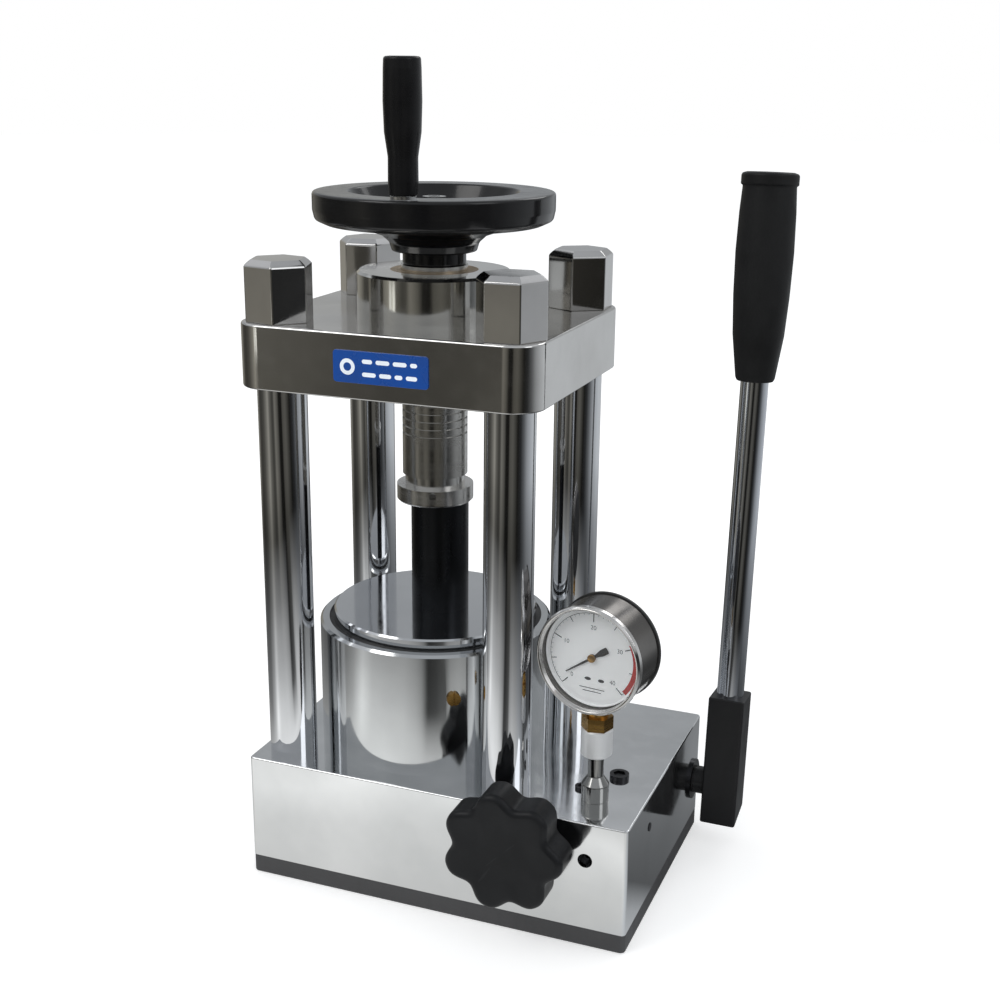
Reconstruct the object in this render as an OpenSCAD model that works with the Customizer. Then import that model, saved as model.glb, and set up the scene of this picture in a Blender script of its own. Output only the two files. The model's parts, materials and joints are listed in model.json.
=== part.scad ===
// Bench-top hydraulic tablet press with four columns, a screw-down pressure head,
// a hand pump, a release valve and a pressure gauge.
// The press axis is the Z axis, the floor is z = 0, the operator stands on the -Y side.
// Every length is in millimetres and every angle in degrees.

/* [Base] */
// width of the base block from side to side
base_w = 233; // [220:1:260]
// depth of the base block from front to back
base_d = 160; // [156:1:190]
// height of the steel base block without the rubber pad
base_h = 64.5; // [60:0.5:80]
// thickness of the rubber pad under the base
pad_h = 11; // [6:0.5:16]
// distance from the press axis to the left face of the base
base_left = 84; // [84:0.5:95]
// distance from the press axis to the front face of the base
base_front = 83; // [80:0.5:100]

/* [Frame] */
// diameter of the four chromed columns
column_dia = 28; // [22:0.5:31]
// distance between the left and right column axes
column_gap_x = 137; // [132:0.5:150]
// distance between the front and rear column axes
column_gap_y = 113; // [110:0.5:120]
// clear height between the base and the top plate
clear_h = 221; // [200:1:260]
// thickness of the top plate
plate_t = 36; // [26:0.5:44]
// how far the top plate reaches past the column axes
plate_reach = 20.5; // [19:0.5:26]
// radius of the upright corners of the top plate
plate_corner = 18; // [8:1:18]
// width across the flats of the tall column nuts
nut_af = 34; // [31:0.5:38]
// height of the tall column nuts
nut_h = 34; // [28:0.5:40]

/* [Cylinder and ram] */
// outside diameter of the hydraulic cylinder
cylinder_dia = 139; // [134:0.5:142]
// height of the hydraulic cylinder above the base
cylinder_h = 74.5; // [66:0.5:80]
// diameter of the ram
ram_dia = 122; // [104:0.5:122]
// height of the ram above the rim of the cylinder
ram_lift = 6.3; // [5.5:0.1:12]
// diameter of the die standing on the ram
die_dia = 34; // [28:0.5:40]

/* [Screw and handwheel] */
// diameter of the lead screw
screw_dia = 38; // [30:0.5:40]
// distance between neighbouring thread turns
screw_pitch = 4.5; // [3:0.25:6]
// diameter of the round nut housing on the top plate
housing_dia = 88; // [84:1:92]
// height of the nut housing above the top plate
housing_h = 25; // [18:0.5:32]
// diameter of the flange of the pressure head
head_dia = 45; // [42:0.5:54]
// outside diameter of the handwheel
wheel_dia = 136; // [128:1:160]
// length of the crank grip on the handwheel
crank_len = 69.5; // [50:0.5:90]

/* [Pump lever] */
// diameter of the lever tube
lever_dia = 16.5; // [14:0.5:18]
// distance from the lever pivot to the end of the grip
lever_len = 374.5; // [300:0.5:420]
// angle by which the lever leans back from upright
lever_lean = 5; // [0:0.5:10]
// diameter of the pump shaft
shaft_dia = 17; // [14:0.5:18]
// distance from the pump shaft axis to the crank pin
arm_reach = 12; // [10:0.5:13]

/* [Gauge and valve] */
// outside diameter of the gauge case
gauge_dia = 60; // [50:1:64]
// height of the gauge centre above the floor
gauge_z = 163.3; // [155:0.5:180]
// angle by which the gauge face is turned to the left
gauge_turn = 8; // [0:1:20]
// diameter of the star knob of the release valve
knob_dia = 70; // [56:1:72]

/* [Fits] */
// radial clearance of parts that turn or slide in each other
running_gap = 0.05; // [0.02:0.01:0.09]
// radial clearance of bolts in their holes
bolt_gap = 0.3; // [0.2:0.05:0.5]
// air left between faces of parts that move past each other
face_gap = 0.4; // [0.3:0.05:0.6]

/* [Hidden] */
$fn = 96;
eps = 0.01;

// levels
base_z = pad_h;
deck_z = base_z + base_h;
plate_z = deck_z + clear_h;
plate_top = plate_z + plate_t;
rim_z = deck_z + cylinder_h;
ram_top = rim_z + ram_lift;

// footprint
base_x = -base_left;
base_y = -base_front;
right_x = base_x + base_w;
rear_y = base_y + base_d;
edge_r = 2.5;

// frame
col_x = column_gap_x / 2;
col_y = column_gap_y / 2;
col_r = column_dia / 2;
plate_w = column_gap_x + 2 * plate_reach;
plate_d = column_gap_y + 2 * plate_reach;
tail_r = 8;
top_tail_r = 9;
tail_nut_af = 24;
tail_nut_h = 13;
tail_pocket_r = 15.5;
tail_pocket_h = 20;
nut_bore_h = 26;
chamfer_lift = 5;

// tank inside the right part of the base
tank_left = 104;
tank_wall = 6;
tank_rear_wall = 4;
tank_roof = 8;
tank_right = right_x - tank_wall;
tank_front = base_y + tank_wall;
tank_rear = rear_y - tank_rear_wall;
tank_top = deck_z - tank_roof;
cover_t = 3;
cover_lip = 4.5;
cover_screw_r = 1.6;

// oil ways drilled in the base
pump_z = base_z + 39;
duct_r = 3;
port_r = 4;

// release valve
valve_x = 85;
valve_z = base_z + 51;
valve_bore_r = 5.5;
valve_depth = 33;
seat_y = base_y + valve_depth;
spindle_r = 5;
ball_r = 3;
ball_y = seat_y - 2.3;
tip_y = ball_y - ball_r - 0.3;
seat_r = 2;
knob_t = 20;
knob_standoff = 7.5;
knob_lobes = 7;
knob_valley = 6.2;
knob_cut_r = 13.2;
knob_turn = 152.8 - 3 * 360 / 7;
gland_af = 17;
gland_t = 5;

// cylinder and ram
cyl_r = cylinder_dia / 2;
ram_r = ram_dia / 2;
bore_r = ram_r + running_gap;
cyl_floor = 14;
rim_bevel = 1.5;
wiper_w = 3;
wiper_h = 5;
wiper_sink = 1;
ram_foot = deck_z + cyl_floor + 6;
seal_h = 5;
seal_w = 4;
cyl_bolt_r = 5;
cyl_bolt_off = 36;
cyl_bolt_head_r = 8.5;
bleed_angle = 32;
bleed_z = deck_z + 48.5;
bleed_r = 4;

// die standing on the ram
die_x = 3;
die_r = die_dia / 2;
die_h = 65.7;
die_top = ram_top + die_h;
punch_r = 6.5;

// pressure head and lead screw
head_z = die_top + face_gap;
head_r = head_dia / 2;
head_flange_h = 9.8;
head_neck_h = 6;
head_neck_r = 17.5;
stub_r = 10;
screw_r = screw_dia / 2;
screw_z = head_z + head_flange_h + head_neck_h + face_gap;
groove_first = 24.5;
groove_w = 1.1;
groove_d = 0.9;
head_screw_r = 2;
head_screws_n = 3;

// nut housing and bush
housing_r = housing_dia / 2;
housing_top = plate_top + housing_h;
spigot_r = 32;
bush_r = 25;
bush_z = plate_z + 3;
housing_screw_r = 3;
housing_screw_off = 38;
housing_screw_head_r = 5;

// handwheel
wheel_r = wheel_dia / 2;
wheel_z = housing_top + 3;
wheel_top = wheel_z + 40.7;
rim_h = 16;
rim_w = 22;
hub_r = 18;
flare_r = 24;
flare_z = wheel_z + 7.5;
wheel_seat_r = 12;
wheel_seat_top = wheel_z + 30;
dish_depth = 10;
crank_angle = -82.5;
crank_r = wheel_r - rim_w / 2;
crank_pin_r = 4;
crank_grip_r = 10.2;
crank_waist_r = 8;

// pump lever
pivot_y = 62;
pivot_z = base_z + 27;
shaft_r = shaft_dia / 2;
lever_x = right_x + 20;
socket_w = 22;
socket_d = 24;
socket_down = 23;
socket_up = 59;
socket_left = lever_x - socket_w / 2;
tube_in = 40;
grip_len = 120.5;
grip_hole_end = 6;
bearing_r = 11;
bearing_boss_r = 14;
bearing_in = tank_right - 15;
bearing_flange = 1.5;
journal_r = 6;
arm_t = 9;
arm_x = bearing_in - 1 - arm_t;
arm_hub_r = 10;
arm_rest = -21;
crank_pin_w = 3;
pin_len = 10;
pin_y = pivot_y - arm_reach * sin(arm_rest);

// pump
pump_x = arm_x - pin_len / 2 - 0.5;
pump_right = pump_x + 13.5;
pump_front = -14;
pump_rear = 36;
pump_low = pump_z - 11;
plunger_r = 5;
plunger_neck_r = 4;
plunger_tail = pin_y - crank_pin_w - face_gap;
plunger_front = 14;
plunger_stroke = 11;
pump_screw_r = 2.5;
pump_screw_x = pump_x + 8.5;
pump_screw_y = [-8, 29];
check_r = 4.5;
check_ball_r = 3.5;
inlet_y = 0;

// valve block under the gauge
block_right = 136;
block_rear = -38;
block_low = base_z + 34;
gauge_x = 120.5;
gauge_y = -53;
relief_x = 125;
relief_z = base_z + 42;
relief_r = 4.2;
block_screw_x = 110;
block_screw_y = -45;
filler_x = 126;
filler_y = -24;
side_plug_y = -39;
side_plug_z = base_z + 45;

// gauge
gauge_r = gauge_dia / 2;
case_back = 11;
back_t = 2.5;
socket_rise = 5.6;
case_front = 13.5;
case_wall = 1.2;
bezel_t = 3;
bezel_w = 2.2;
window_t = 1.6;
dial_r = gauge_r - 1.8;
dial_back = 6.5;
needle_len = 19;
needle_tail = 11;
needle_start = 125;
hex_z = 119;
hex_af = 15.5;
hex_h = 7.5;
coupling_r = 8.8;
coupling_z = 102.8;
coupling_grip = 7;
coupling_top = hex_z;
pedestal_r = 7.8;
pedestal_h = 14.5;
neck_r = 4.5;

// name plate
label_w = 55.5;
label_h = 17.5;
label_t = 0.8;
label_x = 2.8;
label_r = 2;

steel = [0.75, 0.76, 0.78];
chrome = [0.85, 0.86, 0.88];
black = [0.08, 0.08, 0.09];
brass = [0.75, 0.58, 0.25];
bronze = [0.62, 0.45, 0.24];
rubber = [0.15, 0.15, 0.16];
blue = [0.05, 0.2, 0.62];
white = [0.93, 0.93, 0.91];

// ---------- shared shapes ----------

// upright slab with rounded upright corners, one corner at the origin
module slab(w, d, h, r) {
  translate([r, 0, 0])
    cube([w - 2 * r, d, h]);
  translate([0, r, 0])
    cube([w, d - 2 * r, h]);
  for (x = [r, w - r])
    for (y = [r, d - r])
      translate([x, y, 0])
        cylinder(r = r, h = h);
}

// hexagonal prism measured across its flats
module hexagon(af, h) {
  cylinder(r = af / 2 / cos(30), h = h, $fn = 6);
}

// rod along X starting at the given point
module rod_x(p, r, l) {
  translate(p)
    rotate([0, 90, 0])
      cylinder(r = r, h = l);
}

// rod along +Y starting at the given point
module rod_y(p, r, l) {
  translate(p)
    rotate([-90, 0, 0])
      cylinder(r = r, h = l);
}

// socket head screw pointing up, the underside of its head at z = 0
module cap_screw(r, l, head_r, head_h) {
  difference() {
    union() {
      translate([0, 0, -head_h / 2])
        cylinder(r = r, h = l + head_h / 2);
      translate([0, 0, -head_h])
        cylinder(r = head_r, h = head_h);
    }
    translate([0, 0, -head_h - eps])
      hexagon(r * 1.6, head_h * 0.5);
  }
}

// places its children on the four column axes
module at_columns() {
  for (x = [-col_x, col_x])
    for (y = [-col_y, col_y])
      translate([x, y, 0])
        children();
}

// places its children on the cylinder bolts
module at_cylinder_bolts() {
  for (x = [-cyl_bolt_off, cyl_bolt_off])
    for (y = [-cyl_bolt_off, cyl_bolt_off])
      translate([x, y, 0])
        children();
}

// places its children on the screws of the tank cover
module at_cover_screws() {
  for (x = [tank_left - cover_lip / 2, tank_right + cover_lip / 2])
    for (y = [tank_front + 7, tank_rear - 8])
      translate([x, y, base_z])
        children();
}

// places its children on the screws under the nut housing
module at_housing_screws() {
  for (i = [0 : 3])
    rotate([0, 0, 45 + 90 * i])
      translate([housing_screw_off, 0, 0])
        children();
}

// puts its children on the gauge axis, +Z becoming the direction the dial looks at
module at_gauge() {
  translate([gauge_x, gauge_y, gauge_z])
    rotate([0, 0, -gauge_turn])
      rotate([90, 0, 0])
        children();
}

// puts its children on the lever pivot, +Z running along the leaning lever
module at_lever() {
  translate([lever_x, pivot_y, pivot_z])
    rotate([-lever_lean, 0, 0])
      children();
}

// ---------- base ----------

module base_housing() {
  color(steel)
    difference() {
      union() {
        difference() {
          translate([base_x, base_y, base_z])
            slab(base_w, base_d, base_h, edge_r);
          translate([tank_left, tank_front, base_z - 1])
            cube([tank_right - tank_left, tank_rear - tank_front, tank_top - base_z + 1]);
        }
        rod_x([bearing_in, pivot_y, pivot_z], bearing_boss_r, right_x - bearing_in - 1);
      }
      // recess for the tank cover
      translate([tank_left - cover_lip, tank_front - 2, base_z - 1])
        cube([tank_right - tank_left + 2 * cover_lip, tank_rear - tank_front + 4, cover_t + 1]);
      at_cover_screws()
        cylinder(r = cover_screw_r, h = 12);
      at_columns() {
        translate([0, 0, base_z - 1])
          cylinder(r = tail_r + bolt_gap, h = base_h + 2);
        translate([0, 0, base_z - 1])
          cylinder(r = tail_pocket_r, h = tail_pocket_h + 1);
      }
      at_cylinder_bolts() {
        translate([0, 0, base_z - 1])
          cylinder(r = cyl_bolt_r + bolt_gap, h = base_h + 2);
        translate([0, 0, base_z - 1])
          cylinder(r = cyl_bolt_head_r + bolt_gap, h = 16);
      }
      // oil way from the pump to the cylinder
      rod_x([0, 0, pump_z], duct_r, tank_left + 1);
      translate([0, 0, pump_z])
        cylinder(r = port_r, h = base_h);
      // release valve bore, seat and the way back to the tank
      rod_y([valve_x, base_y - 1, valve_z], valve_bore_r, valve_depth + 1);
      rod_y([valve_x, seat_y - 1, valve_z], seat_r, -seat_y + 1);
      translate([valve_x, 0, pump_z])
        cylinder(r = seat_r, h = valve_z - pump_z + seat_r);
      translate([valve_x, seat_y - 8, valve_z - 20])
        cylinder(r = seat_r, h = 20);
      rod_x([valve_x, seat_y - 8, valve_z - 20], seat_r, tank_left - valve_x + 1);
      // pressure way to the valve block
      rod_x([valve_x, seat_y + 4, valve_z], seat_r, tank_left - valve_x + 1);
      // openings in the deck
      translate([gauge_x, gauge_y, tank_top - 1])
        cylinder(r = neck_r + bolt_gap, h = tank_roof + 2);
      translate([filler_x, filler_y, tank_top - 1])
        cylinder(r = 4, h = tank_roof + 2);
      translate([block_screw_x, block_screw_y, tank_top - 1])
        cylinder(r = 2.5 + bolt_gap, h = tank_roof + 2);
      // openings in the front and right walls
      rod_y([relief_x, base_y - 1, relief_z], relief_r, tank_wall + 2);
      rod_x([tank_right - 1, side_plug_y, side_plug_z], 2.5, tank_wall + 2);
      // seat of the pump shaft bearing
      rod_x([bearing_in - 1, pivot_y, pivot_z], bearing_r, right_x - bearing_in + 2);
      for (y = pump_screw_y)
        translate([pump_screw_x, y, tank_top - 1])
          cylinder(r = pump_screw_r, h = 6);
    }
}

module base_pad() {
  color(rubber)
    translate([base_x, base_y, 0])
      slab(base_w, base_d, pad_h, edge_r);
}

module bottom_cover() {
  color(steel)
    difference() {
      translate([tank_left - cover_lip + 0.2, tank_front - 1.8, base_z])
        cube([tank_right - tank_left + 2 * cover_lip - 0.4, tank_rear - tank_front + 3.6, cover_t]);
      at_cover_screws()
        translate([0, 0, -1])
          cylinder(r = cover_screw_r, h = cover_t + 2);
    }
}

module cover_screws() {
  color(black)
    at_cover_screws()
      cylinder(r = cover_screw_r, h = 11);
}

// ---------- frame ----------

// one column with its upper and lower threaded tails
module column(x, y) {
  color(chrome)
    translate([x, y, 0]) {
      translate([0, 0, deck_z])
        cylinder(r = col_r, h = clear_h);
      translate([0, 0, base_z + 2])
        cylinder(r = tail_r, h = base_h);
      translate([0, 0, plate_z - 1])
        cylinder(r = top_tail_r, h = plate_t + nut_bore_h - 1);
    }
}

module column_front_left() {
  column(-col_x, -col_y);
}

module column_front_right() {
  column(col_x, -col_y);
}

module column_rear_left() {
  column(-col_x, col_y);
}

module column_rear_right() {
  column(col_x, col_y);
}

module column_tail_nuts() {
  color(steel)
    at_columns()
      translate([0, 0, base_z + tail_pocket_h - tail_nut_h])
        difference() {
          hexagon(tail_nut_af, tail_nut_h);
          translate([0, 0, -1])
            cylinder(r = tail_r, h = tail_nut_h + 2);
        }
}

// tall closed nut with a chamfered crown
module tall_nut() {
  difference() {
    intersection() {
      hexagon(nut_af, nut_h);
      union() {
        cylinder(r = nut_af, h = nut_h - chamfer_lift);
        translate([0, 0, nut_h - chamfer_lift])
          cylinder(r1 = nut_af / 2 + chamfer_lift, r2 = nut_af / 2 - 1, h = chamfer_lift);
      }
    }
    translate([0, 0, -1])
      cylinder(r = top_tail_r, h = nut_bore_h + 1);
  }
}

module column_top_nuts() {
  turns = [-12, 8, 4, -26];
  color(chrome)
    for (i = [0 : 3]) {
      x = i < 2 ? -col_x : col_x;
      y = i % 2 == 0 ? -col_y : col_y;
      translate([x, y, plate_top])
        rotate([0, 0, turns[i]])
          tall_nut();
    }
}

module top_plate() {
  color(chrome)
    difference() {
      translate([-plate_w / 2, -plate_d / 2, plate_z])
        slab(plate_w, plate_d, plate_t, plate_corner);
      at_columns()
        translate([0, 0, plate_z - 1])
          cylinder(r = top_tail_r + bolt_gap, h = plate_t + 2);
      translate([0, 0, plate_z - 1])
        cylinder(r = spigot_r, h = plate_t + 2);
      at_housing_screws() {
        translate([0, 0, plate_z - 1])
          cylinder(r = housing_screw_r + bolt_gap, h = plate_t + 2);
        translate([0, 0, plate_z - 1])
          cylinder(r = housing_screw_head_r + bolt_gap, h = 8);
      }
    }
}

module nut_housing() {
  color(chrome)
    difference() {
      union() {
        translate([0, 0, plate_top])
          cylinder(r = housing_r, h = housing_h - 1.5);
        translate([0, 0, housing_top - 1.5])
          cylinder(r1 = housing_r, r2 = housing_r - 1.5, h = 1.5);
        translate([0, 0, plate_z])
          cylinder(r = spigot_r, h = plate_t + 1);
      }
      translate([0, 0, plate_z - 1])
        cylinder(r = bush_r, h = plate_t + housing_h + 2);
      at_housing_screws()
        translate([0, 0, plate_top - 1])
          cylinder(r = housing_screw_r, h = 13);
    }
}

module thread_bush() {
  color(bronze)
    difference() {
      translate([0, 0, bush_z])
        cylinder(r = bush_r, h = housing_top - bush_z);
      translate([0, 0, bush_z - 1])
        cylinder(r = screw_r + running_gap, h = housing_top - bush_z + 2);
    }
}

module housing_screws() {
  color(black)
    at_housing_screws()
      translate([0, 0, plate_z + 7])
        cap_screw(housing_screw_r, plate_t - 7 + 11, housing_screw_head_r, 6);
}

module name_plate() {
  color(blue)
    translate([label_x - label_w / 2, -plate_d / 2, plate_z + (plate_t - label_h) / 2])
      rotate([90, 0, 0])
        slab(label_w, label_h, label_t, label_r);
}

// ---------- cylinder and ram ----------

module cylinder_body() {
  color(chrome)
    difference() {
      union() {
        translate([0, 0, deck_z])
          cylinder(r = cyl_r, h = cylinder_h - rim_bevel);
        translate([0, 0, rim_z - rim_bevel])
          cylinder(r1 = cyl_r, r2 = cyl_r - rim_bevel, h = rim_bevel);
      }
      translate([0, 0, deck_z + cyl_floor])
        cylinder(r = bore_r, h = cylinder_h);
      translate([0, 0, rim_z - wiper_h])
        cylinder(r = bore_r + wiper_w, h = wiper_h + 1);
      translate([0, 0, deck_z - 1])
        cylinder(r = port_r, h = cyl_floor + 2);
      at_cylinder_bolts()
        translate([0, 0, deck_z - 1])
          cylinder(r = cyl_bolt_r, h = cyl_floor - 1);
      rotate([0, 0, bleed_angle - 90])
        rod_x([cyl_r - 5, 0, bleed_z], bleed_r, 10);
    }
}

module cylinder_bolts() {
  color(black)
    at_cylinder_bolts()
      translate([0, 0, base_z + 15])
        cap_screw(cyl_bolt_r, base_h - 15 + cyl_floor - 3, cyl_bolt_head_r, 10);
}

module wiper_ring() {
  color(rubber)
    translate([0, 0, rim_z - wiper_h])
      difference() {
        cylinder(r = bore_r + wiper_w, h = wiper_h - wiper_sink);
        translate([0, 0, -1])
          cylinder(r = bore_r + 0.03, h = wiper_h + 2);
      }
}

module bleed_plug() {
  color(brass)
    rotate([0, 0, bleed_angle - 90])
      difference() {
        rod_x([cyl_r - 5, 0, bleed_z], bleed_r, 7);
        translate([cyl_r + 1, -0.6, bleed_z - 5])
          cube([3, 1.2, 10]);
      }
}

module ram() {
  color(chrome)
    difference() {
      union() {
        translate([0, 0, ram_foot])
          cylinder(r = ram_r, h = ram_top - ram_foot - 1);
        translate([0, 0, ram_top - 1])
          cylinder(r1 = ram_r, r2 = ram_r - 1, h = 1);
      }
      for (i = [0, 1])
        translate([0, 0, ram_foot + 5 + 10 * i])
          difference() {
            cylinder(r = ram_r + 1, h = seal_h);
            translate([0, 0, -1])
              cylinder(r = ram_r - seal_w, h = seal_h + 2);
          }
      translate([0, 0, ram_foot - 1])
        cylinder(r = 30, h = 26);
    }
}

module ram_seals() {
  color(rubber)
    for (i = [0, 1])
      translate([0, 0, ram_foot + 5 + 10 * i])
        difference() {
          cylinder(r = ram_r, h = seal_h);
          translate([0, 0, -1])
            cylinder(r = ram_r - seal_w, h = seal_h + 2);
        }
}

module die_sleeve() {
  color(black)
    translate([die_x, 0, ram_top])
      difference() {
        cylinder(r = die_r, h = die_h);
        translate([0, 0, -1])
          cylinder(r = punch_r + running_gap, h = die_h + 2);
      }
}

module die_punch() {
  color(steel)
    translate([die_x, 0, ram_top])
      cylinder(r = punch_r, h = die_h);
}

// ---------- pressure head, lead screw and handwheel ----------

module pressure_head() {
  color(steel)
    difference() {
      union() {
        translate([0, 0, head_z])
          cylinder(r1 = head_r - 1, r2 = head_r, h = 1);
        translate([0, 0, head_z + 1])
          cylinder(r = head_r, h = head_flange_h - 1);
        translate([0, 0, head_z + head_flange_h - 1])
          cylinder(r = head_neck_r, h = head_neck_h + 1);
      }
      translate([0, 0, head_z + 5])
        cylinder(r = stub_r + running_gap, h = head_flange_h + head_neck_h);
      for (i = [0 : head_screws_n - 1])
        rotate([0, 0, -70 + 360 / head_screws_n * i])
          rod_x([0, 0, head_z + 7], head_screw_r, head_r + 1);
    }
}

module head_screws() {
  color(chrome)
    for (i = [0 : head_screws_n - 1])
      rotate([0, 0, -70 + 360 / head_screws_n * i])
        rod_x([stub_r - 1.5, 0, head_z + 7], head_screw_r, head_r - stub_r + 2.1);
}

module lead_screw() {
  top = wheel_seat_top;
  thread_top = housing_top - 4;
  turns = floor((thread_top - screw_z - groove_first) / screw_pitch);
  color(steel)
    difference() {
      union() {
        translate([0, 0, screw_z])
          cylinder(r = screw_r, h = wheel_z - screw_z);
        translate([0, 0, screw_z])
          cylinder(r = wheel_seat_r, h = top - screw_z);
        translate([0, 0, head_z + 5 + face_gap])
          cylinder(r = stub_r, h = screw_z - head_z);
      }
      // turns of the thread
      for (i = [0 : turns])
        translate([0, 0, screw_z + groove_first + screw_pitch * i])
          difference() {
            cylinder(r = screw_r + 1, h = groove_w);
            translate([0, 0, -1])
              cylinder(r = screw_r - groove_d, h = groove_w + 2);
          }
      // groove that carries the pressure head on its screws
      translate([0, 0, head_z + 7 - head_screw_r - face_gap])
        difference() {
          cylinder(r = stub_r + 1, h = 2 * head_screw_r + 2 * face_gap);
          translate([0, 0, -1])
            cylinder(r = stub_r - 2.2, h = 10);
        }
      // tapped hole for the handwheel screw
      translate([0, 0, top - 20])
        cylinder(r = 4, h = 21);
    }
}

module handwheel() {
  color(black)
    difference() {
      rotate_extrude()
        polygon([
          [wheel_seat_r, wheel_z],
          [hub_r, wheel_z],
          [hub_r, flare_z],
          [flare_r, flare_z],
          [flare_r + 1.5, flare_z + 4.5],
          [flare_r + 5, flare_z + 8],
          [flare_r + 12, flare_z + 11],
          [flare_r + 20, flare_z + 13.5],
          [wheel_r - 8, wheel_top - rim_h - 2],
          [wheel_r - 3, wheel_top - rim_h],
          [wheel_r - 0.8, wheel_top - rim_h + 3],
          [wheel_r, wheel_top - rim_h + 6],
          [wheel_r, wheel_top - 3],
          [wheel_r - 1, wheel_top - 1],
          [wheel_r - 3, wheel_top],
          [wheel_r - rim_w, wheel_top],
          [wheel_r - rim_w - 2, wheel_top - 1],
          [wheel_r - rim_w - 5, wheel_top - dish_depth],
          [hub_r + 2, wheel_top - dish_depth - 2],
          [hub_r, wheel_seat_top + 0.5],
          [wheel_seat_r, wheel_seat_top + 0.5]
        ]);
      rotate([0, 0, crank_angle])
        translate([crank_r, 0, wheel_top - 14])
          cylinder(r = crank_pin_r, h = 20);
    }
}

module wheel_washer() {
  color(chrome)
    translate([0, 0, wheel_seat_top + 0.5])
      difference() {
        cylinder(r = hub_r - 3, h = 2);
        translate([0, 0, -1])
          cylinder(r = 4 + bolt_gap, h = 4);
      }
}

module wheel_screw() {
  color(chrome)
    translate([0, 0, wheel_seat_top + 2.5])
      rotate([180, 0, 0])
        cap_screw(4, 20, 6.5, 5);
}

module crank_pin() {
  color(steel)
    rotate([0, 0, crank_angle])
      translate([crank_r, 0, 0]) {
        translate([0, 0, wheel_top - 14])
          cylinder(r = crank_pin_r, h = crank_len + 6);
        translate([0, 0, wheel_top])
          cylinder(r = crank_waist_r - 1, h = 1.5);
        translate([0, 0, wheel_top + crank_len - 10])
          cylinder(r = crank_pin_r + 2, h = 2);
      }
}

module crank_grip() {
  foot = wheel_top + 1.5 + face_gap;
  top = wheel_top + 2 + crank_len;
  catch_low = wheel_top + crank_len - 10 - face_gap;
  catch_high = wheel_top + crank_len - 8 + face_gap;
  color(black)
    rotate([0, 0, crank_angle])
      translate([crank_r, 0, 0])
        rotate_extrude()
          polygon([
            [crank_pin_r + running_gap, foot],
            [crank_waist_r, foot],
            [crank_waist_r, foot + 0.3 * crank_len],
            [crank_waist_r + 0.8, foot + 0.38 * crank_len],
            [crank_grip_r, foot + 0.5 * crank_len],
            [crank_grip_r, top - 4],
            [crank_grip_r - 1, top - 1.5],
            [crank_grip_r - 3, top],
            [0, top],
            [0, catch_high],
            [crank_pin_r + 2 + face_gap, catch_high],
            [crank_pin_r + 2 + face_gap, catch_low],
            [crank_pin_r + running_gap, catch_low]
          ]);
}

// ---------- release valve ----------

module release_gland() {
  color(chrome)
    difference() {
      union() {
        translate([valve_x, base_y, valve_z])
          rotate([90, 0, 0])
            hexagon(gland_af, gland_t);
        rod_y([valve_x, base_y - 1, valve_z], valve_bore_r, 1 + 9);
      }
      rod_y([valve_x, base_y - gland_t - 1, valve_z], spindle_r - 1 + running_gap, 20);
    }
}

module release_spindle() {
  color(steel) {
    rod_y([valve_x, base_y - knob_standoff - 8, valve_z], spindle_r - 1, tip_y - base_y + knob_standoff + 8);
    rod_y([valve_x, base_y + 12, valve_z], spindle_r, tip_y - base_y - 16);
  }
}

module release_knob() {
  cut_at = knob_dia / 2 - knob_valley + knob_cut_r;
  color(black)
    translate([valve_x, base_y - knob_standoff, valve_z])
      rotate([90, 0, 0])
        rotate([0, 0, knob_turn])
          difference() {
            cylinder(r = knob_dia / 2, h = knob_t);
            for (i = [0 : knob_lobes - 1])
              rotate([0, 0, 360 / knob_lobes * (i + 0.5)])
                translate([cut_at, 0, -1])
                  cylinder(r = knob_cut_r, h = knob_t + 2);
            translate([0, 0, -1])
              cylinder(r = spindle_r - 1, h = 9);
          }
}

module release_ball() {
  color(steel)
    translate([valve_x, ball_y, valve_z])
      sphere(r = ball_r);
}

// ---------- valve block and its fittings ----------

module valve_block() {
  color(steel)
    difference() {
      translate([tank_left, tank_front, block_low])
        cube([block_right - tank_left, block_rear - tank_front, tank_top - block_low]);
      // pressure way from the base to the gauge
      rod_x([tank_left - 1, seat_y + 4, valve_z], seat_r, gauge_x - tank_left + 4);
      rod_y([gauge_x, gauge_y, valve_z], seat_r - 0.5, seat_y + 5 - gauge_y);
      translate([gauge_x, gauge_y, valve_z - 3])
        cylinder(r = seat_r + 0.5, h = 20);
      translate([gauge_x, gauge_y, tank_top - 4])
        cylinder(r = neck_r + bolt_gap, h = 5);
      // relief valve bore
      rod_y([relief_x, tank_front - 1, relief_z], relief_r, 27);
      rod_y([relief_x, tank_front + 25, relief_z], 1.5, 9);
      translate([relief_x, tank_front + 16, block_low - 1])
        cylinder(r = 2, h = relief_z - block_low + 1);
      translate([block_screw_x, block_screw_y, tank_top - 12])
        cylinder(r = 2.5, h = 13);
    }
}

module block_screw() {
  color(black)
    translate([block_screw_x, block_screw_y, deck_z])
      rotate([180, 0, 0])
        cap_screw(2.5, tank_roof + 11, 3.8, 1.6);
}

module relief_screw() {
  color(black)
    difference() {
      rod_y([relief_x, tank_front + 0.5, relief_z], relief_r, 9);
      translate([relief_x, tank_front + 0.4, relief_z])
        rotate([-90, 0, 0])
          hexagon(4, 4);
    }
}

module filler_plug() {
  color(black)
    translate([filler_x, filler_y, deck_z])
      rotate([180, 0, 0])
        cap_screw(4, tank_roof + 2, 5.6, 2.4);
}

module side_plug() {
  color(black)
    rod_x([tank_right, side_plug_y, side_plug_z], 2.5, tank_wall + 0.4);
}

// ---------- gauge ----------

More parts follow.
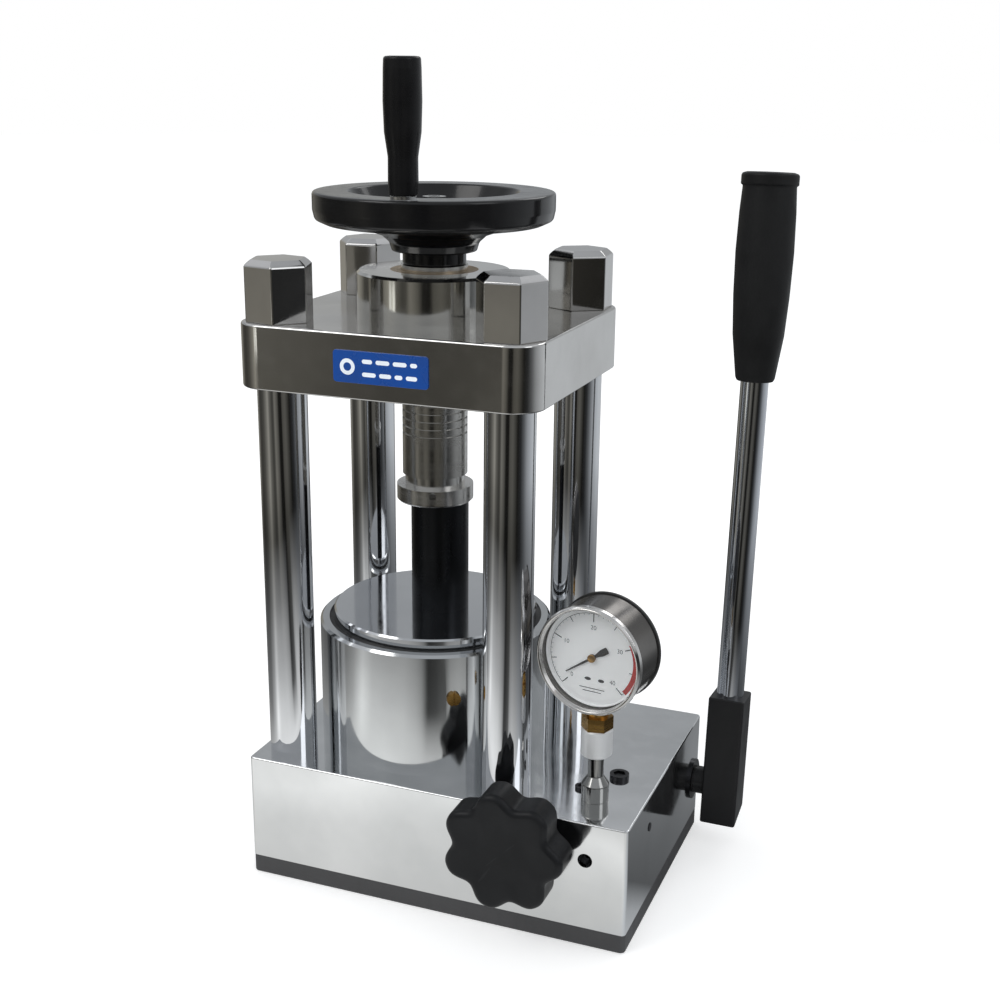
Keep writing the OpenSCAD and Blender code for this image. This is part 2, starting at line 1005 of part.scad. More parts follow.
module gauge_pedestal() {
  color(chrome)
    translate([gauge_x, gauge_y, 0])
      difference() {
        union() {
          translate([0, 0, tank_top - 3])
            cylinder(r = neck_r, h = coupling_z + coupling_grip - tank_top + 3);
          translate([0, 0, deck_z])
            cylinder(r = pedestal_r, h = pedestal_h - 5);
          translate([0, 0, deck_z + pedestal_h - 5])
            cylinder(r1 = pedestal_r, r2 = neck_r, h = 5);
        }
        translate([0, 0, tank_top - 4])
          cylinder(r = 1.5, h = coupling_z + coupling_grip - tank_top + 5);
      }
}

module gauge_coupling() {
  color(chrome)
    translate([gauge_x, gauge_y, 0])
      difference() {
        union() {
          translate([0, 0, coupling_z])
            cylinder(r1 = coupling_r - 0.8, r2 = coupling_r, h = 0.8);
          translate([0, 0, coupling_z + 0.8])
            cylinder(r = coupling_r, h = coupling_top - coupling_z - 1.6);
          translate([0, 0, coupling_top - 0.8])
            cylinder(r1 = coupling_r, r2 = coupling_r - 0.8, h = 0.8);
        }
        translate([0, 0, coupling_z - 1])
          cylinder(r = neck_r, h = coupling_grip + 1);
        translate([0, 0, coupling_top - coupling_grip - 0.5])
          cylinder(r = neck_r, h = coupling_grip + 1);
        translate([0, 0, coupling_z])
          cylinder(r = 1.5, h = 20);
      }
}

module gauge_socket() {
  color(brass)
    translate([gauge_x, gauge_y, 0])
      difference() {
        union() {
          translate([0, 0, hex_z])
            rotate([0, 0, 12])
              hexagon(hex_af, hex_h);
          translate([0, 0, hex_z - coupling_grip])
            cylinder(r = neck_r, h = coupling_grip + 0.5);
          translate([0, 0, hex_z + hex_h - 1])
            cylinder(r = 6, h = gauge_z - gauge_r + socket_rise - hex_z - hex_h + 1);
        }
        translate([0, 0, hex_z - 10])
          cylinder(r = 1.5, h = gauge_z - gauge_r + 4 - hex_z + 10);
      }
}

module gauge_case() {
  color(chrome)
    difference() {
      at_gauge()
        difference() {
          translate([0, 0, -case_back])
            cylinder(r = gauge_r, h = case_back + case_front);
          translate([0, 0, -case_back + case_wall])
            cylinder(r = gauge_r - case_wall, h = case_back + case_front);
        }
      translate([gauge_x, gauge_y, gauge_z - gauge_r - 5])
        cylinder(r = 6, h = 12);
    }
}

module gauge_back() {
  color(black)
    at_gauge()
      translate([0, 0, -case_back - back_t])
        cylinder(r = gauge_r + 0.9, h = back_t);
}

module gauge_bezel() {
  color(chrome)
    at_gauge()
      translate([0, 0, case_front - 2])
        difference() {
          union() {
            cylinder(r = gauge_r + 0.9, h = bezel_t);
            translate([0, 0, bezel_t])
              cylinder(r1 = gauge_r + 0.9, r2 = gauge_r - 0.6, h = 1.5);
          }
          translate([0, 0, -1])
            cylinder(r = gauge_r, h = 3);
          translate([0, 0, -1])
            cylinder(r = gauge_r - bezel_w + 0.4, h = 10);
        }
}

module gauge_window() {
  color([0.8, 0.9, 0.95, 0.3])
    at_gauge()
      translate([0, 0, case_front - window_t])
        cylinder(r = gauge_r - case_wall, h = window_t);
}

module gauge_dial() {
  color(white)
    at_gauge()
      translate([0, 0, case_front - dial_back])
        difference() {
          cylinder(r = dial_r, h = 0.8);
          translate([0, 0, -1])
            cylinder(r = 2, h = 4);
        }
}

module gauge_tube() {
  color(brass)
    difference() {
      at_gauge()
        translate([0, 0, -4]) {
          rotate([0, 0, -110])
            rotate_extrude(angle = 250)
              translate([17, -2])
                square([3, 4]);
          translate([-5, -gauge_r + socket_rise, -2])
            cube([10, 9, 4]);
        }
      translate([gauge_x, gauge_y, gauge_z - gauge_r - 1])
        cylinder(r = 1.5, h = 9);
    }
}

module gauge_needle() {
  color(black)
    at_gauge()
      translate([0, 0, case_front - dial_back])
        rotate([0, 0, needle_start]) {
          translate([0, 0, 1.2]) {
            translate([-0.45, 0, 0])
              cube([0.9, needle_len, 0.6]);
            translate([-1.2, -needle_tail, 0])
              cube([2.4, needle_tail, 0.6]);
            cylinder(r = 2.6, h = 1.6);
          }
          translate([0, 0, -5])
            cylinder(r = 1, h = 7);
        }
}

// ---------- pump and lever ----------

module shaft_bearing() {
  color(bronze)
    difference() {
      union() {
        rod_x([bearing_in, pivot_y, pivot_z], bearing_r, right_x - bearing_in);
        rod_x([right_x, pivot_y, pivot_z], bearing_r + 1.5, bearing_flange);
      }
      rod_x([bearing_in - 1, pivot_y, pivot_z], shaft_r + running_gap, right_x - bearing_in + 10);
    }
}

module pump_shaft() {
  color(black) {
    rod_x([bearing_in - face_gap, pivot_y, pivot_z], shaft_r, lever_x + 4 - bearing_in);
    rod_x([arm_x, pivot_y, pivot_z], journal_r, bearing_in - arm_x);
  }
}

module lever_socket() {
  color(black)
    difference() {
      at_lever()
        difference() {
          translate([-socket_w / 2, -socket_d / 2, -socket_down])
            cube([socket_w, socket_d, socket_down + socket_up]);
          translate([0, 0, socket_up - tube_in])
            cylinder(r = lever_dia / 2, h = tube_in + 1);
          translate([0, socket_d / 2 + 4, -socket_down])
            rotate([30, 0, 0])
              cube([socket_w + 2, 16, 16], center = true);
        }
      rod_x([socket_left - 1, pivot_y, pivot_z], shaft_r, lever_x + 4 - face_gap - socket_left + 1);
    }
}

module lever_tube() {
  color(chrome)
    at_lever()
      translate([0, 0, socket_up - tube_in])
        difference() {
          cylinder(r = lever_dia / 2, h = lever_len - socket_up + tube_in - grip_hole_end);
          translate([0, 0, -1])
            cylinder(r = lever_dia / 2 - 2.5, h = lever_len);
        }
}

module lever_grip() {
  foot = lever_len - grip_len;
  color(black)
    at_lever()
      difference() {
        rotate_extrude()
          polygon([
            [0, foot],
            [11, foot],
            [11.6, foot + 1.5],
            [15, foot + 26],
            [16.2, foot + 50],
            [16.8, foot + 75],
            [16.2, foot + 100],
            [15.4, foot + 112],
            [16.6, foot + 113],
            [16.6, foot + 118.5],
            [15.2, lever_len],
            [0, lever_len]
          ]);
        translate([0, 0, foot - 1])
          cylinder(r = lever_dia / 2, h = grip_len + 1 - grip_hole_end);
      }
}

module pump_arm() {
  color(steel)
    translate([arm_x, pivot_y, pivot_z])
      rotate([arm_rest, 0, 0]) {
        difference() {
          union() {
            rod_x([0, 0, 0], arm_hub_r, arm_t);
            translate([0, -4.5, 0])
              cube([arm_t, 9, arm_reach]);
            rod_x([0, 0, arm_reach], 4.5, arm_t);
            rod_x([-pin_len, 0, arm_reach], crank_pin_w, pin_len + 1);
          }
          rod_x([-1, 0, 0], journal_r, arm_t + 2);
        }
      }
}

module pump_block() {
  color(steel)
    difference() {
      translate([tank_left, pump_front, pump_low])
        cube([pump_right - tank_left, pump_rear - pump_front, tank_top - pump_low]);
      rod_y([pump_x, plunger_front - plunger_stroke, pump_z], plunger_r + running_gap, 60);
      // outlet way to the base, with its ball
      rod_x([tank_left - 1, 0, pump_z], seat_r, pump_x - tank_left + 1);
      rod_y([pump_x, 0, pump_z], seat_r, plunger_front);
      // inlet way from the tank, with its ball
      translate([pump_x, inlet_y, pump_low - 1])
        cylinder(r = check_r, h = 6);
      translate([pump_x, inlet_y, pump_low])
        cylinder(r = seat_r, h = pump_z - pump_low);
      for (y = pump_screw_y)
        translate([pump_screw_x, y, pump_low - 1]) {
          cylinder(r = pump_screw_r + bolt_gap, h = 60);
          cylinder(r = 4.5, h = 5);
        }
    }
}

module pump_screws() {
  color(black)
    for (y = pump_screw_y)
      translate([pump_screw_x, y, pump_low + 4])
        cap_screw(pump_screw_r, tank_top - pump_low + 0.5, 4.2, 4);
}

module check_ball() {
  color(steel)
    translate([pump_x, inlet_y, pump_low + 1])
      sphere(r = check_ball_r);
}

module pump_plunger() {
  color(steel)
    difference() {
      rod_y([pump_x, plunger_front, pump_z], plunger_r, plunger_tail - plunger_front);
      // groove for the return spring's clip
      difference() {
        rod_y([pump_x, plunger_tail - 6, pump_z], plunger_r + 1, 2);
        rod_y([pump_x, plunger_tail - 7, pump_z], plunger_neck_r, 4);
      }
    }
}

// ---------- drawing ----------

base_housing();
base_pad();
bottom_cover();
cover_screws();
column_front_left();
column_front_right();
column_rear_left();
column_rear_right();
column_tail_nuts();
column_top_nuts();
top_plate();
nut_housing();
thread_bush();
housing_screws();
name_plate();
cylinder_body();
cylinder_bolts();
wiper_ring();
bleed_plug();
ram();
ram_seals();
die_sleeve();
die_punch();
pressure_head();
head_screws();
lead_screw();
handwheel();
wheel_washer();
wheel_screw();
crank_pin();
crank_grip();
release_gland();
release_spindle();
release_knob();
release_ball();
valve_block();
block_screw();
relief_screw();
filler_plug();
side_plug();
gauge_pedestal();
gauge_coupling();
gauge_socket();
gauge_case();
gauge_back();
gauge_bezel();
gauge_window();
gauge_dial();
gauge_tube();
gauge_needle();
shaft_bearing();
pump_shaft();
lever_socket();
lever_tube();
lever_grip();
pump_arm();
pump_block();
pump_screws();
check_ball();
pump_plunger();
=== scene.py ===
import json
import math

import bmesh
import bpy
from mathutils import Matrix, Vector


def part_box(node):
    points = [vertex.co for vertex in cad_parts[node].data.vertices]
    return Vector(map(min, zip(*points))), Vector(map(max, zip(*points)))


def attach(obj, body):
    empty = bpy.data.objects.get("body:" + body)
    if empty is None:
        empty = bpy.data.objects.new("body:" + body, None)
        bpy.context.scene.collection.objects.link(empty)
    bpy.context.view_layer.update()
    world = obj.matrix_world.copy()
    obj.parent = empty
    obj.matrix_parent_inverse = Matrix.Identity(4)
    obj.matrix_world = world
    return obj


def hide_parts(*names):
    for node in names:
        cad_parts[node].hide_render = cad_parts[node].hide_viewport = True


# Looks of the hydraulic tablet press: the camera, the studio, the finishes of the CAD nodes,
# and finer meshes for the parts whose edges and details the light picks out.

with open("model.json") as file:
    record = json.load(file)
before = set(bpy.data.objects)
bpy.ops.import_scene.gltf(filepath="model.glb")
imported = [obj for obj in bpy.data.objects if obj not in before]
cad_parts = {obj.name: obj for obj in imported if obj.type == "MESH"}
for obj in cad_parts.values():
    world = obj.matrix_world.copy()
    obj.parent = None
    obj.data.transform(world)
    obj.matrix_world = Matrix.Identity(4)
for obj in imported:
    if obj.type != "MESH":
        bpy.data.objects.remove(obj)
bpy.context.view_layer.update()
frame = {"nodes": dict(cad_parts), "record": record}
nodes = frame["nodes"]
MM = 0.001

# ---------------------------------------------------------------- camera

CAM_POS = (0.33613, -0.75959, 0.47096)
CAM_YAW = -21.226
CAM_PITCH = -16.748
CAM_ROLL = 0.552
CAM_FOCAL = 1.46158  # focal length as a share of the image width
SENSOR = 36.0


def make_camera():
    data = bpy.data.cameras.new("camera")
    data.sensor_width = SENSOR
    data.lens = CAM_FOCAL * SENSOR
    data.clip_start = 0.01
    data.clip_end = 60
    cam = bpy.data.objects.new("camera", data)
    bpy.context.scene.collection.objects.link(cam)
    yaw, pitch, roll = (math.radians(a) for a in (CAM_YAW, CAM_PITCH, CAM_ROLL))
    level = math.cos(pitch)
    forward = Vector((math.sin(yaw) * level, math.cos(yaw) * level, math.sin(pitch)))
    right = Vector((math.cos(yaw), -math.sin(yaw), 0))
    up = right.cross(forward)
    side = right * math.cos(roll) + up * math.sin(roll)
    top = up * math.cos(roll) - right * math.sin(roll)
    m = Matrix((side, top, -forward)).transposed().to_4x4()
    m.translation = Vector(CAM_POS)
    cam.matrix_world = m
    bpy.context.scene.camera = cam


# ---------------------------------------------------------------- studio

DIFFUSE_SKY = 0.72  # light of the world on everything that is not a mirror
FLOOR_LIFT = 0.42  # glow that keeps the floor pale
FLOOR_RADIUS = 9
FLOOR_DROP = 0.0002  # keeps the floor clear of the pad

CARD_STEPS = 8
CARD_HALF_WIDTH = 2.2  # degrees
CARD_DISTANCE = 0.84
CARD_LOW = 0.178
CARD_HIGH = 0.232
CARD_COLOUR = (1, 1, 0.93)


def emission(name, colour, strength):
    mat = bpy.data.materials.new(name)
    mat.use_nodes = True
    nt = mat.node_tree
    nt.nodes.clear()
    out = nt.nodes.new("ShaderNodeOutputMaterial")
    em = nt.nodes.new("ShaderNodeEmission")
    em.inputs["Color"].default_value = (*colour, 1)
    em.inputs["Strength"].default_value = strength
    nt.links.new(em.outputs[0], out.inputs["Surface"])
    return mat


def window_card(name, azimuth, strength):
    """A small curved window beside the press that only polished surfaces see."""
    bm = bmesh.new()
    last = None
    for i in range(CARD_STEPS + 1):
        a = math.radians(azimuth - CARD_HALF_WIDTH + 2 * CARD_HALF_WIDTH * i / CARD_STEPS)
        x, y = CARD_DISTANCE * math.cos(a), CARD_DISTANCE * math.sin(a)
        pair = (bm.verts.new((x, y, CARD_LOW)), bm.verts.new((x, y, CARD_HIGH)))
        if last:
            bm.faces.new((last[0], pair[0], pair[1], last[1]))
        last = pair
    mesh = bpy.data.meshes.new(name)
    bm.to_mesh(mesh)
    bm.free()
    ob = bpy.data.objects.new(name, mesh)
    ob.data.materials.append(emission(name, CARD_COLOUR, strength))
    bpy.context.scene.collection.objects.link(ob)
    ob.visible_camera = False
    ob.visible_diffuse = False
    ob.visible_shadow = False
    ob.visible_transmission = False


def area_light(name, pos, target, size, energy, colour=(1, 1, 1)):
    data = bpy.data.lights.new(name, "AREA")
    data.shape = "RECTANGLE"
    data.size, data.size_y = size
    data.energy = energy
    data.color = colour
    ob = bpy.data.objects.new(name, data)
    bpy.context.scene.collection.objects.link(ob)
    ob.location = pos
    ob.rotation_euler = (Vector(target) - Vector(pos)).to_track_quat("-Z", "Y").to_euler()


# What polished surfaces see round the press, as (azimuth in degrees, brightness):
# SURROUND is the room far out, NEAR and CLOSE are the table with painted light in front of the press and
# painted shade on its right and behind it, and WALLS stands above the horizon.
SURROUND = (
    (-180, 0.045), (-160, 0.08), (-146, 0.18), (-135, 0.32), (-126, 0.14), (-114, 0.058),
    (-108, 0.07), (-102, 0.20), (-90, 0.10), (-83, 0.012), (-72.5, 0.010), (-68, 0.085),
    (-62, 0.10), (-56, 0.11), (-46, 0.06), (-36, 0.012), (-22, 0.03), (-8, 0.13), (8, 0.34),
    (28, 0.50), (50, 0.62), (84, 0.60), (98, 0.12), (112, 0.045), (126, 0.06), (140, 0.30),
    (156, 0.22), (170, 0.06),
)
PALE_WALL = (96, 128)  # degrees
PALE_WALL_TONE = 0.42
WALLS = tuple((az, PALE_WALL_TONE if PALE_WALL[0] < az < PALE_WALL[1] else v) for az, v in SURROUND)
CLOSE = (
    (-180, 0.42), (-165, 0.60), (-142, 0.86), (-112, 1.0), (-60, 0.90), (-40, 0.80), (-28, 0.70),
    (-14, 0.50), (-3, 0.13), (30, 0.20), (60, 0.34), (90, 0.32), (112, 0.20), (150, 0.30),
    (180, 0.42),
)
NEAR = (
    (-180, 0.20), (-165, 0.26), (-148, 0.62), (-137, 1.25), (-126, 0.92), (-108, 0.84),
    (-95, 0.80), (-84, 0.62), (-79, 0.46), (-74, 0.06), (-66, 0.09), (-59, 0.16), (-54, 0.60),
    (-46, 0.72), (-36, 0.62), (-22, 0.50), (-10, 0.32), (-2, 0.08), (22, 0.08), (50, 0.24),
    (90, 0.26), (112, 0.14), (150, 0.24), (180, 0.20),
)
COOL_SECTOR = (-30, 120)  # degrees
WARM = (1.0, 0.96, 0.84)
COOL = (0.92, 0.96, 1.0)
NEUTRAL = (0.99, 1.0, 0.99)


def ramp_node(nt, stops):
    """A colour ramp from (position, colour) pairs."""
    ramp = nt.nodes.new("ShaderNodeValToRGB")
    elements = ramp.color_ramp.elements
    for i, (at, colour) in enumerate(stops):
        e = elements[i] if i < 2 else elements.new(at)
        e.position = at
        e.color = (*colour, 1)
    return ramp


def math_node(nt, op, a, b=None):
    m = nt.nodes.new("ShaderNodeMath")
    m.operation = op
    for i, v in enumerate((a, b)):
        if isinstance(v, (int, float)):
            m.inputs[i].default_value = v
        elif v is not None:
            nt.links.new(v, m.inputs[i])
    return m.outputs[0]


def around(nt, x, y):
    """Position 0 to 1 of a direction round the press, for the ramps."""
    turn = math_node(nt, "DIVIDE", math_node(nt, "ARCTAN2", y, x), 2 * math.pi)
    return math_node(nt, "ADD", turn, 0.5)


def surround_ramp(nt, table, side_tint, cool_tint):
    """A ramp of one of the tables above, in one tint inside the cool sector and another outside it."""
    stops = []
    for az, v in table:
        tint = cool_tint if COOL_SECTOR[0] <= az <= COOL_SECTOR[1] else side_tint
        stops.append(((az + 180) / 360, tuple(v * c for c in tint)))
    return ramp_node(nt, stops)


def grey_stops(*stops):
    return tuple((at, (v, v, v)) for at, v in stops)


def by_ray(nt, ray, others, those):
    """Mixes two shaders: rays of the named kind see the second one."""
    path = nt.nodes.new("ShaderNodeLightPath")
    mix = nt.nodes.new("ShaderNodeMixShader")
    nt.links.new(path.outputs[ray], mix.inputs[0])
    nt.links.new(others.outputs[0], mix.inputs[1])
    nt.links.new(those.outputs[0], mix.inputs[2])
    return mix


def background(nt, colour=(1, 1, 1), strength=1.0):
    node = nt.nodes.new("ShaderNodeBackground")
    node.inputs["Color"].default_value = (*colour, 1)
    node.inputs["Strength"].default_value = strength
    return node


def sky_mirror(nt):
    """What mirrors see of the world: the walls near the horizon, and the sky above them."""
    coord = nt.nodes.new("ShaderNodeTexCoord")
    split = nt.nodes.new("ShaderNodeSeparateXYZ")
    nt.links.new(coord.outputs["Generated"], split.inputs[0])
    sky = ramp_node(nt, (
        (0.0, (0.40, 0.41, 0.42)), (0.12, (0.42, 0.43, 0.44)),
        (0.30, (0.40, 0.415, 0.43)), (0.45, (0.34, 0.355, 0.37)),
        (0.52, (0.56, 0.575, 0.60)), (0.78, (0.66, 0.68, 0.71)),
        (0.86, (0.42, 0.44, 0.46)), (1.0, (0.50, 0.52, 0.55)),
    ))
    nt.links.new(split.outputs["Z"], sky.inputs["Fac"])
    walls = surround_ramp(nt, WALLS, WARM, COOL)
    nt.links.new(around(nt, split.outputs["X"], split.outputs["Y"]), walls.inputs["Fac"])
    rise = ramp_node(nt, grey_stops((0.0, 0), (0.09, 0), (0.2, 1)))
    nt.links.new(split.outputs["Z"], rise.inputs["Fac"])
    blend = nt.nodes.new("ShaderNodeMix")
    blend.data_type = "RGBA"
    colours = [i for i in blend.inputs if i.type == "RGBA"]
    nt.links.new(rise.outputs[0], blend.inputs["Factor"])
    nt.links.new(walls.outputs[0], colours[0])
    nt.links.new(sky.outputs[0], colours[1])
    mirror = background(nt)
    nt.links.new([o for o in blend.outputs if o.type == "RGBA"][0], mirror.inputs["Color"])
    return mirror


def make_world():
    scene = bpy.context.scene
    scene.view_settings.view_transform = "Standard"
    world = bpy.data.worlds.new("studio")
    scene.world = world
    world.use_nodes = True
    nt = world.node_tree
    nt.nodes.clear()
    out = nt.nodes.new("ShaderNodeOutputWorld")
    soft = background(nt, (0.98, 0.99, 1.0), DIFFUSE_SKY)
    seen = by_ray(nt, "Is Glossy Ray", soft, sky_mirror(nt))
    last = by_ray(nt, "Is Camera Ray", seen, background(nt))
    nt.links.new(last.outputs[0], out.inputs["Surface"])


def table_mirror(nt):
    """What mirrors see of the floor: three rings of tones that fade into each other, the inner two painted
    light in front of the press and painted shade on its right and behind it.
    """
    coord = nt.nodes.new("ShaderNodeNewGeometry").outputs["Position"]
    split = nt.nodes.new("ShaderNodeSeparateXYZ")
    nt.links.new(coord, split.inputs[0])
    x, y = split.outputs["X"], split.outputs["Y"]
    square = math_node(nt, "ADD", math_node(nt, "MULTIPLY", x, x), math_node(nt, "MULTIPLY", y, y))
    distance = math_node(nt, "SQRT", square)
    azimuth = around(nt, x, y)
    close_fade = grey_stops((0.0, 0.55), (0.17, 0.8), (0.22, 1), (0.31, 0))
    near_fade = grey_stops((0.0, 0), (0.22, 0), (0.31, 0.92), (0.40, 0.58), (0.54, 0.24), (0.72, 0))
    far_fade = grey_stops((0.0, 0), (0.38, 0), (0.95, 1))
    whole = None
    # CLOSE and NEAR glow as painted light in front of the press and painted shade on its right and behind it.
    for table, tint, fade in (
        (CLOSE, NEUTRAL, close_fade), (NEAR, NEUTRAL, near_fade), (SURROUND, WARM, far_fade),
    ):
        tone = surround_ramp(nt, table, tint, COOL)
        nt.links.new(azimuth, tone.inputs["Fac"])
        reach = ramp_node(nt, fade)
        nt.links.new(distance, reach.inputs["Fac"])
        glow = nt.nodes.new("ShaderNodeEmission")
        nt.links.new(tone.outputs[0], glow.inputs["Color"])
        nt.links.new(reach.outputs[0], glow.inputs["Strength"])
        if whole is None:
            whole = glow
            continue
        added = nt.nodes.new("ShaderNodeAddShader")
        nt.links.new(whole.outputs[0], added.inputs[0])
        nt.links.new(glow.outputs[0], added.inputs[1])
        whole = added
    return whole


def make_floor():
    """Plain pale floor; in reflections it shows painted light in front of the press and painted shade on its
    right and behind it, and darkens away from the press, as a table edge and a room do.
    """
    bpy.ops.mesh.primitive_circle_add(
        vertices=96, radius=FLOOR_RADIUS, fill_type="NGON", location=(0, 0, -FLOOR_DROP)
    )
    floor = bpy.context.object
    floor.name = "floor"
    mat = bpy.data.materials.new("floor")
    mat.use_nodes = True
    nt = mat.node_tree
    out = nt.nodes["Material Output"]
    pb = nt.nodes["Principled BSDF"]
    pb.inputs["Base Color"].default_value = (0.86, 0.865, 0.87, 1)
    pb.inputs["Roughness"].default_value = 0.8
    pb.inputs["Specular IOR Level"].default_value = 0.1
    pb.inputs["Emission Color"].default_value = (1, 1, 1, 1)
    pb.inputs["Emission Strength"].default_value = FLOOR_LIFT
    seen = by_ray(nt, "Is Glossy Ray", pb, table_mirror(nt))
    nt.links.new(seen.outputs[0], out.inputs["Surface"])
    floor.data.materials.append(mat)


def make_studio():
    make_world()
    make_floor()
    area_light("key", (-1.3, -1.5, 2.1), (0, 0, 0.15), (1.3, 1.3), 15, (1.0, 0.99, 0.97))
    area_light("fill", (1.9, -0.6, 1.4), (0, 0, 0.2), (0.9, 1.2), 4, (0.95, 0.97, 1.0))
    area_light("back", (0.6, 1.9, 1.7), (0, 0, 0.2), (1.4, 0.8), 6)
    window_card("card_window_a", -127, 1.1)
    window_card("card_window_b", -132.5, 0.9)


# ---------------------------------------------------------------- finishes

NOISE_ROUGHNESS = 0.55
WORN_CORNER = (0.515, 0.56)  # pointiness where wear begins and where it is full


class Graph:
    """Small helper that builds one procedural Principled material."""

    def __init__(self, name):
        self.mat = bpy.data.materials.new(name)
        self.mat.use_nodes = True
        self.nt = self.mat.node_tree
        self.bsdf = self.nt.nodes["Principled BSDF"]
        self.coord = self.nt.nodes.new("ShaderNodeTexCoord").outputs["Object"]

    def node(self, kind, **values):
        n = self.nt.nodes.new(kind)
        for key, value in values.items():
            n.inputs[key.replace("_", " ")].default_value = value
        return n

    def link(self, a, b):
        self.nt.links.new(a, b)

    def stretched(self, scale):
        m = self.nt.nodes.new("ShaderNodeMapping")
        m.inputs["Scale"].default_value = scale
        self.link(self.coord, m.inputs["Vector"])
        return m.outputs[0]

    def noise(self, scale, detail, vector=None):
        n = self.node("ShaderNodeTexNoise", Scale=scale, Detail=detail, Roughness=NOISE_ROUGHNESS)
        self.link(vector or self.coord, n.inputs["Vector"])
        return n.outputs["Fac"]

    def span(self, value, low, high, source=(0.3, 0.7)):
        m = self.node("ShaderNodeMapRange")
        m.inputs["From Min"].default_value, m.inputs["From Max"].default_value = source
        m.inputs["To Min"].default_value, m.inputs["To Max"].default_value = low, high
        self.link(value, m.inputs["Value"])
        return m.outputs["Result"]

    def add(self, a, b):
        return math_node(self.nt, "ADD", a, b)

    def mix(self, factor, a, b):
        m = self.nt.nodes.new("ShaderNodeMix")
        m.data_type = "RGBA"
        self.link(factor, m.inputs["Factor"])
        for key, v in (("A", a), ("B", b)):
            socket = [s for s in m.inputs if s.name == key and s.type == "RGBA"][0]
            if isinstance(v, tuple):
                socket.default_value = (*v, 1)
            else:
                self.link(v, socket)
        return [s for s in m.outputs if s.type == "RGBA"][0]

    def bump(self, height, strength, distance, after=None):
        b = self.node("ShaderNodeBump", Strength=strength, Distance=distance)
        self.link(height, b.inputs["Height"])
        if after is not None:
            self.link(after, b.inputs["Normal"])
        return b.outputs[0]

    def edges(self, amount):
        """The amount on worn corners, 0 elsewhere, from the surface's pointiness."""
        geo = self.nt.nodes.new("ShaderNodeNewGeometry")
        return self.span(geo.outputs["Pointiness"], 0.0, amount, WORN_CORNER)


def polished(name, colour, dark, rough, wave, smudge):
    """Chrome: mirror with slow waves of the polish, wiping marks and fine hairlines."""
    g = Graph(name)
    b = g.bsdf
    b.inputs["Metallic"].default_value = 1.0
    b.inputs["Specular IOR Level"].default_value = 0.5
    cloud = g.noise(14, 4)
    fine = g.noise(90, 3)
    g.link(g.mix(g.span(cloud, 0, 1, (0.35, 0.68)), colour, dark), b.inputs["Base Color"])
    wipe = g.span(fine, 0.0, smudge, (0.45, 0.75))
    g.link(g.add(g.span(cloud, rough, rough * 2.2), wipe), b.inputs["Roughness"])
    slow = g.noise(9, 1.5)
    hair = g.noise(900, 2, g.stretched((1, 1, 0.05)))
    n1 = g.bump(slow, wave, 0.0035)
    g.link(g.bump(hair, 0.05, 0.00002, n1), b.inputs["Normal"])
    return g.mat


def machined(name, colour, dark, rough, rings, grain=0.16, aniso=0.5, metal=1.0):
    """Turned or ground steel with tool marks."""
    g = Graph(name)
    b = g.bsdf
    b.inputs["Metallic"].default_value = metal
    b.inputs["Anisotropic"].default_value = aniso
    marks = g.noise(26, 5, g.stretched(rings))
    cloud = g.noise(35, 4)
    g.link(g.mix(g.span(cloud, 0, 1), colour, dark), b.inputs["Base Color"])
    marked = g.span(marks, 0, 0.12)
    g.link(g.add(g.span(cloud, rough * 0.7, rough * 1.2), marked), b.inputs["Roughness"])
    g.link(g.bump(marks, grain, 0.0001), b.inputs["Normal"])
    return g.mat


def plastic(name, colour, worn, rough, grain, grain_size, wear, coat=0.0, spec=0.5):
    """Moulded black plastic, rubber or paint with fine grain, dust and lighter worn corners."""
    g = Graph(name)
    b = g.bsdf
    b.inputs["Coat Weight"].default_value = coat
    b.inputs["Coat Roughness"].default_value = 0.08
    b.inputs["Specular IOR Level"].default_value = spec
    cloud = g.noise(30, 5)
    base = g.mix(g.span(cloud, 0, 0.45), colour, worn)
    g.link(g.mix(g.edges(wear), base, worn), b.inputs["Base Color"])
    scuff = g.noise(160, 4, g.stretched((1, 1, 0.25)))
    scuffed = g.span(scuff, 0, 0.10, (0.5, 0.75))
    g.link(g.add(g.span(cloud, rough * 0.85, rough * 1.3), scuffed), b.inputs["Roughness"])
    skin = g.noise(grain_size, 2)
    g.link(g.bump(skin, grain, 0.00025), b.inputs["Normal"])
    return g.mat


def paint(name, colour, rough, vary=0.9, coat=0.0, lift=0.0):
    """Printed or enamelled surface with slight mottling, which can glow a little."""
    g = Graph(name)
    b = g.bsdf
    b.inputs["Coat Weight"].default_value = coat
    cloud = g.noise(70, 4)
    dark = tuple(c * vary for c in colour)
    g.link(g.mix(g.span(cloud, 0, 1), colour, dark), b.inputs["Base Color"])
    g.link(g.span(cloud, rough * 0.85, rough * 1.2), b.inputs["Roughness"])
    g.link(g.bump(g.noise(1500, 2), 0.05, 0.0001), b.inputs["Normal"])
    b.inputs["Emission Color"].default_value = (*colour, 1)
    b.inputs["Emission Strength"].default_value = lift
    return g.mat


def glass(name):
    g = Graph(name)
    b = g.bsdf
    b.inputs["Base Color"].default_value = (1, 1, 1, 1)
    b.inputs["Transmission Weight"].default_value = 1.0
    b.inputs["IOR"].default_value = 1.45
    g.link(g.span(g.noise(60, 3), 0.0, 0.03, (0.45, 0.75)), b.inputs["Roughness"])
    return g.mat


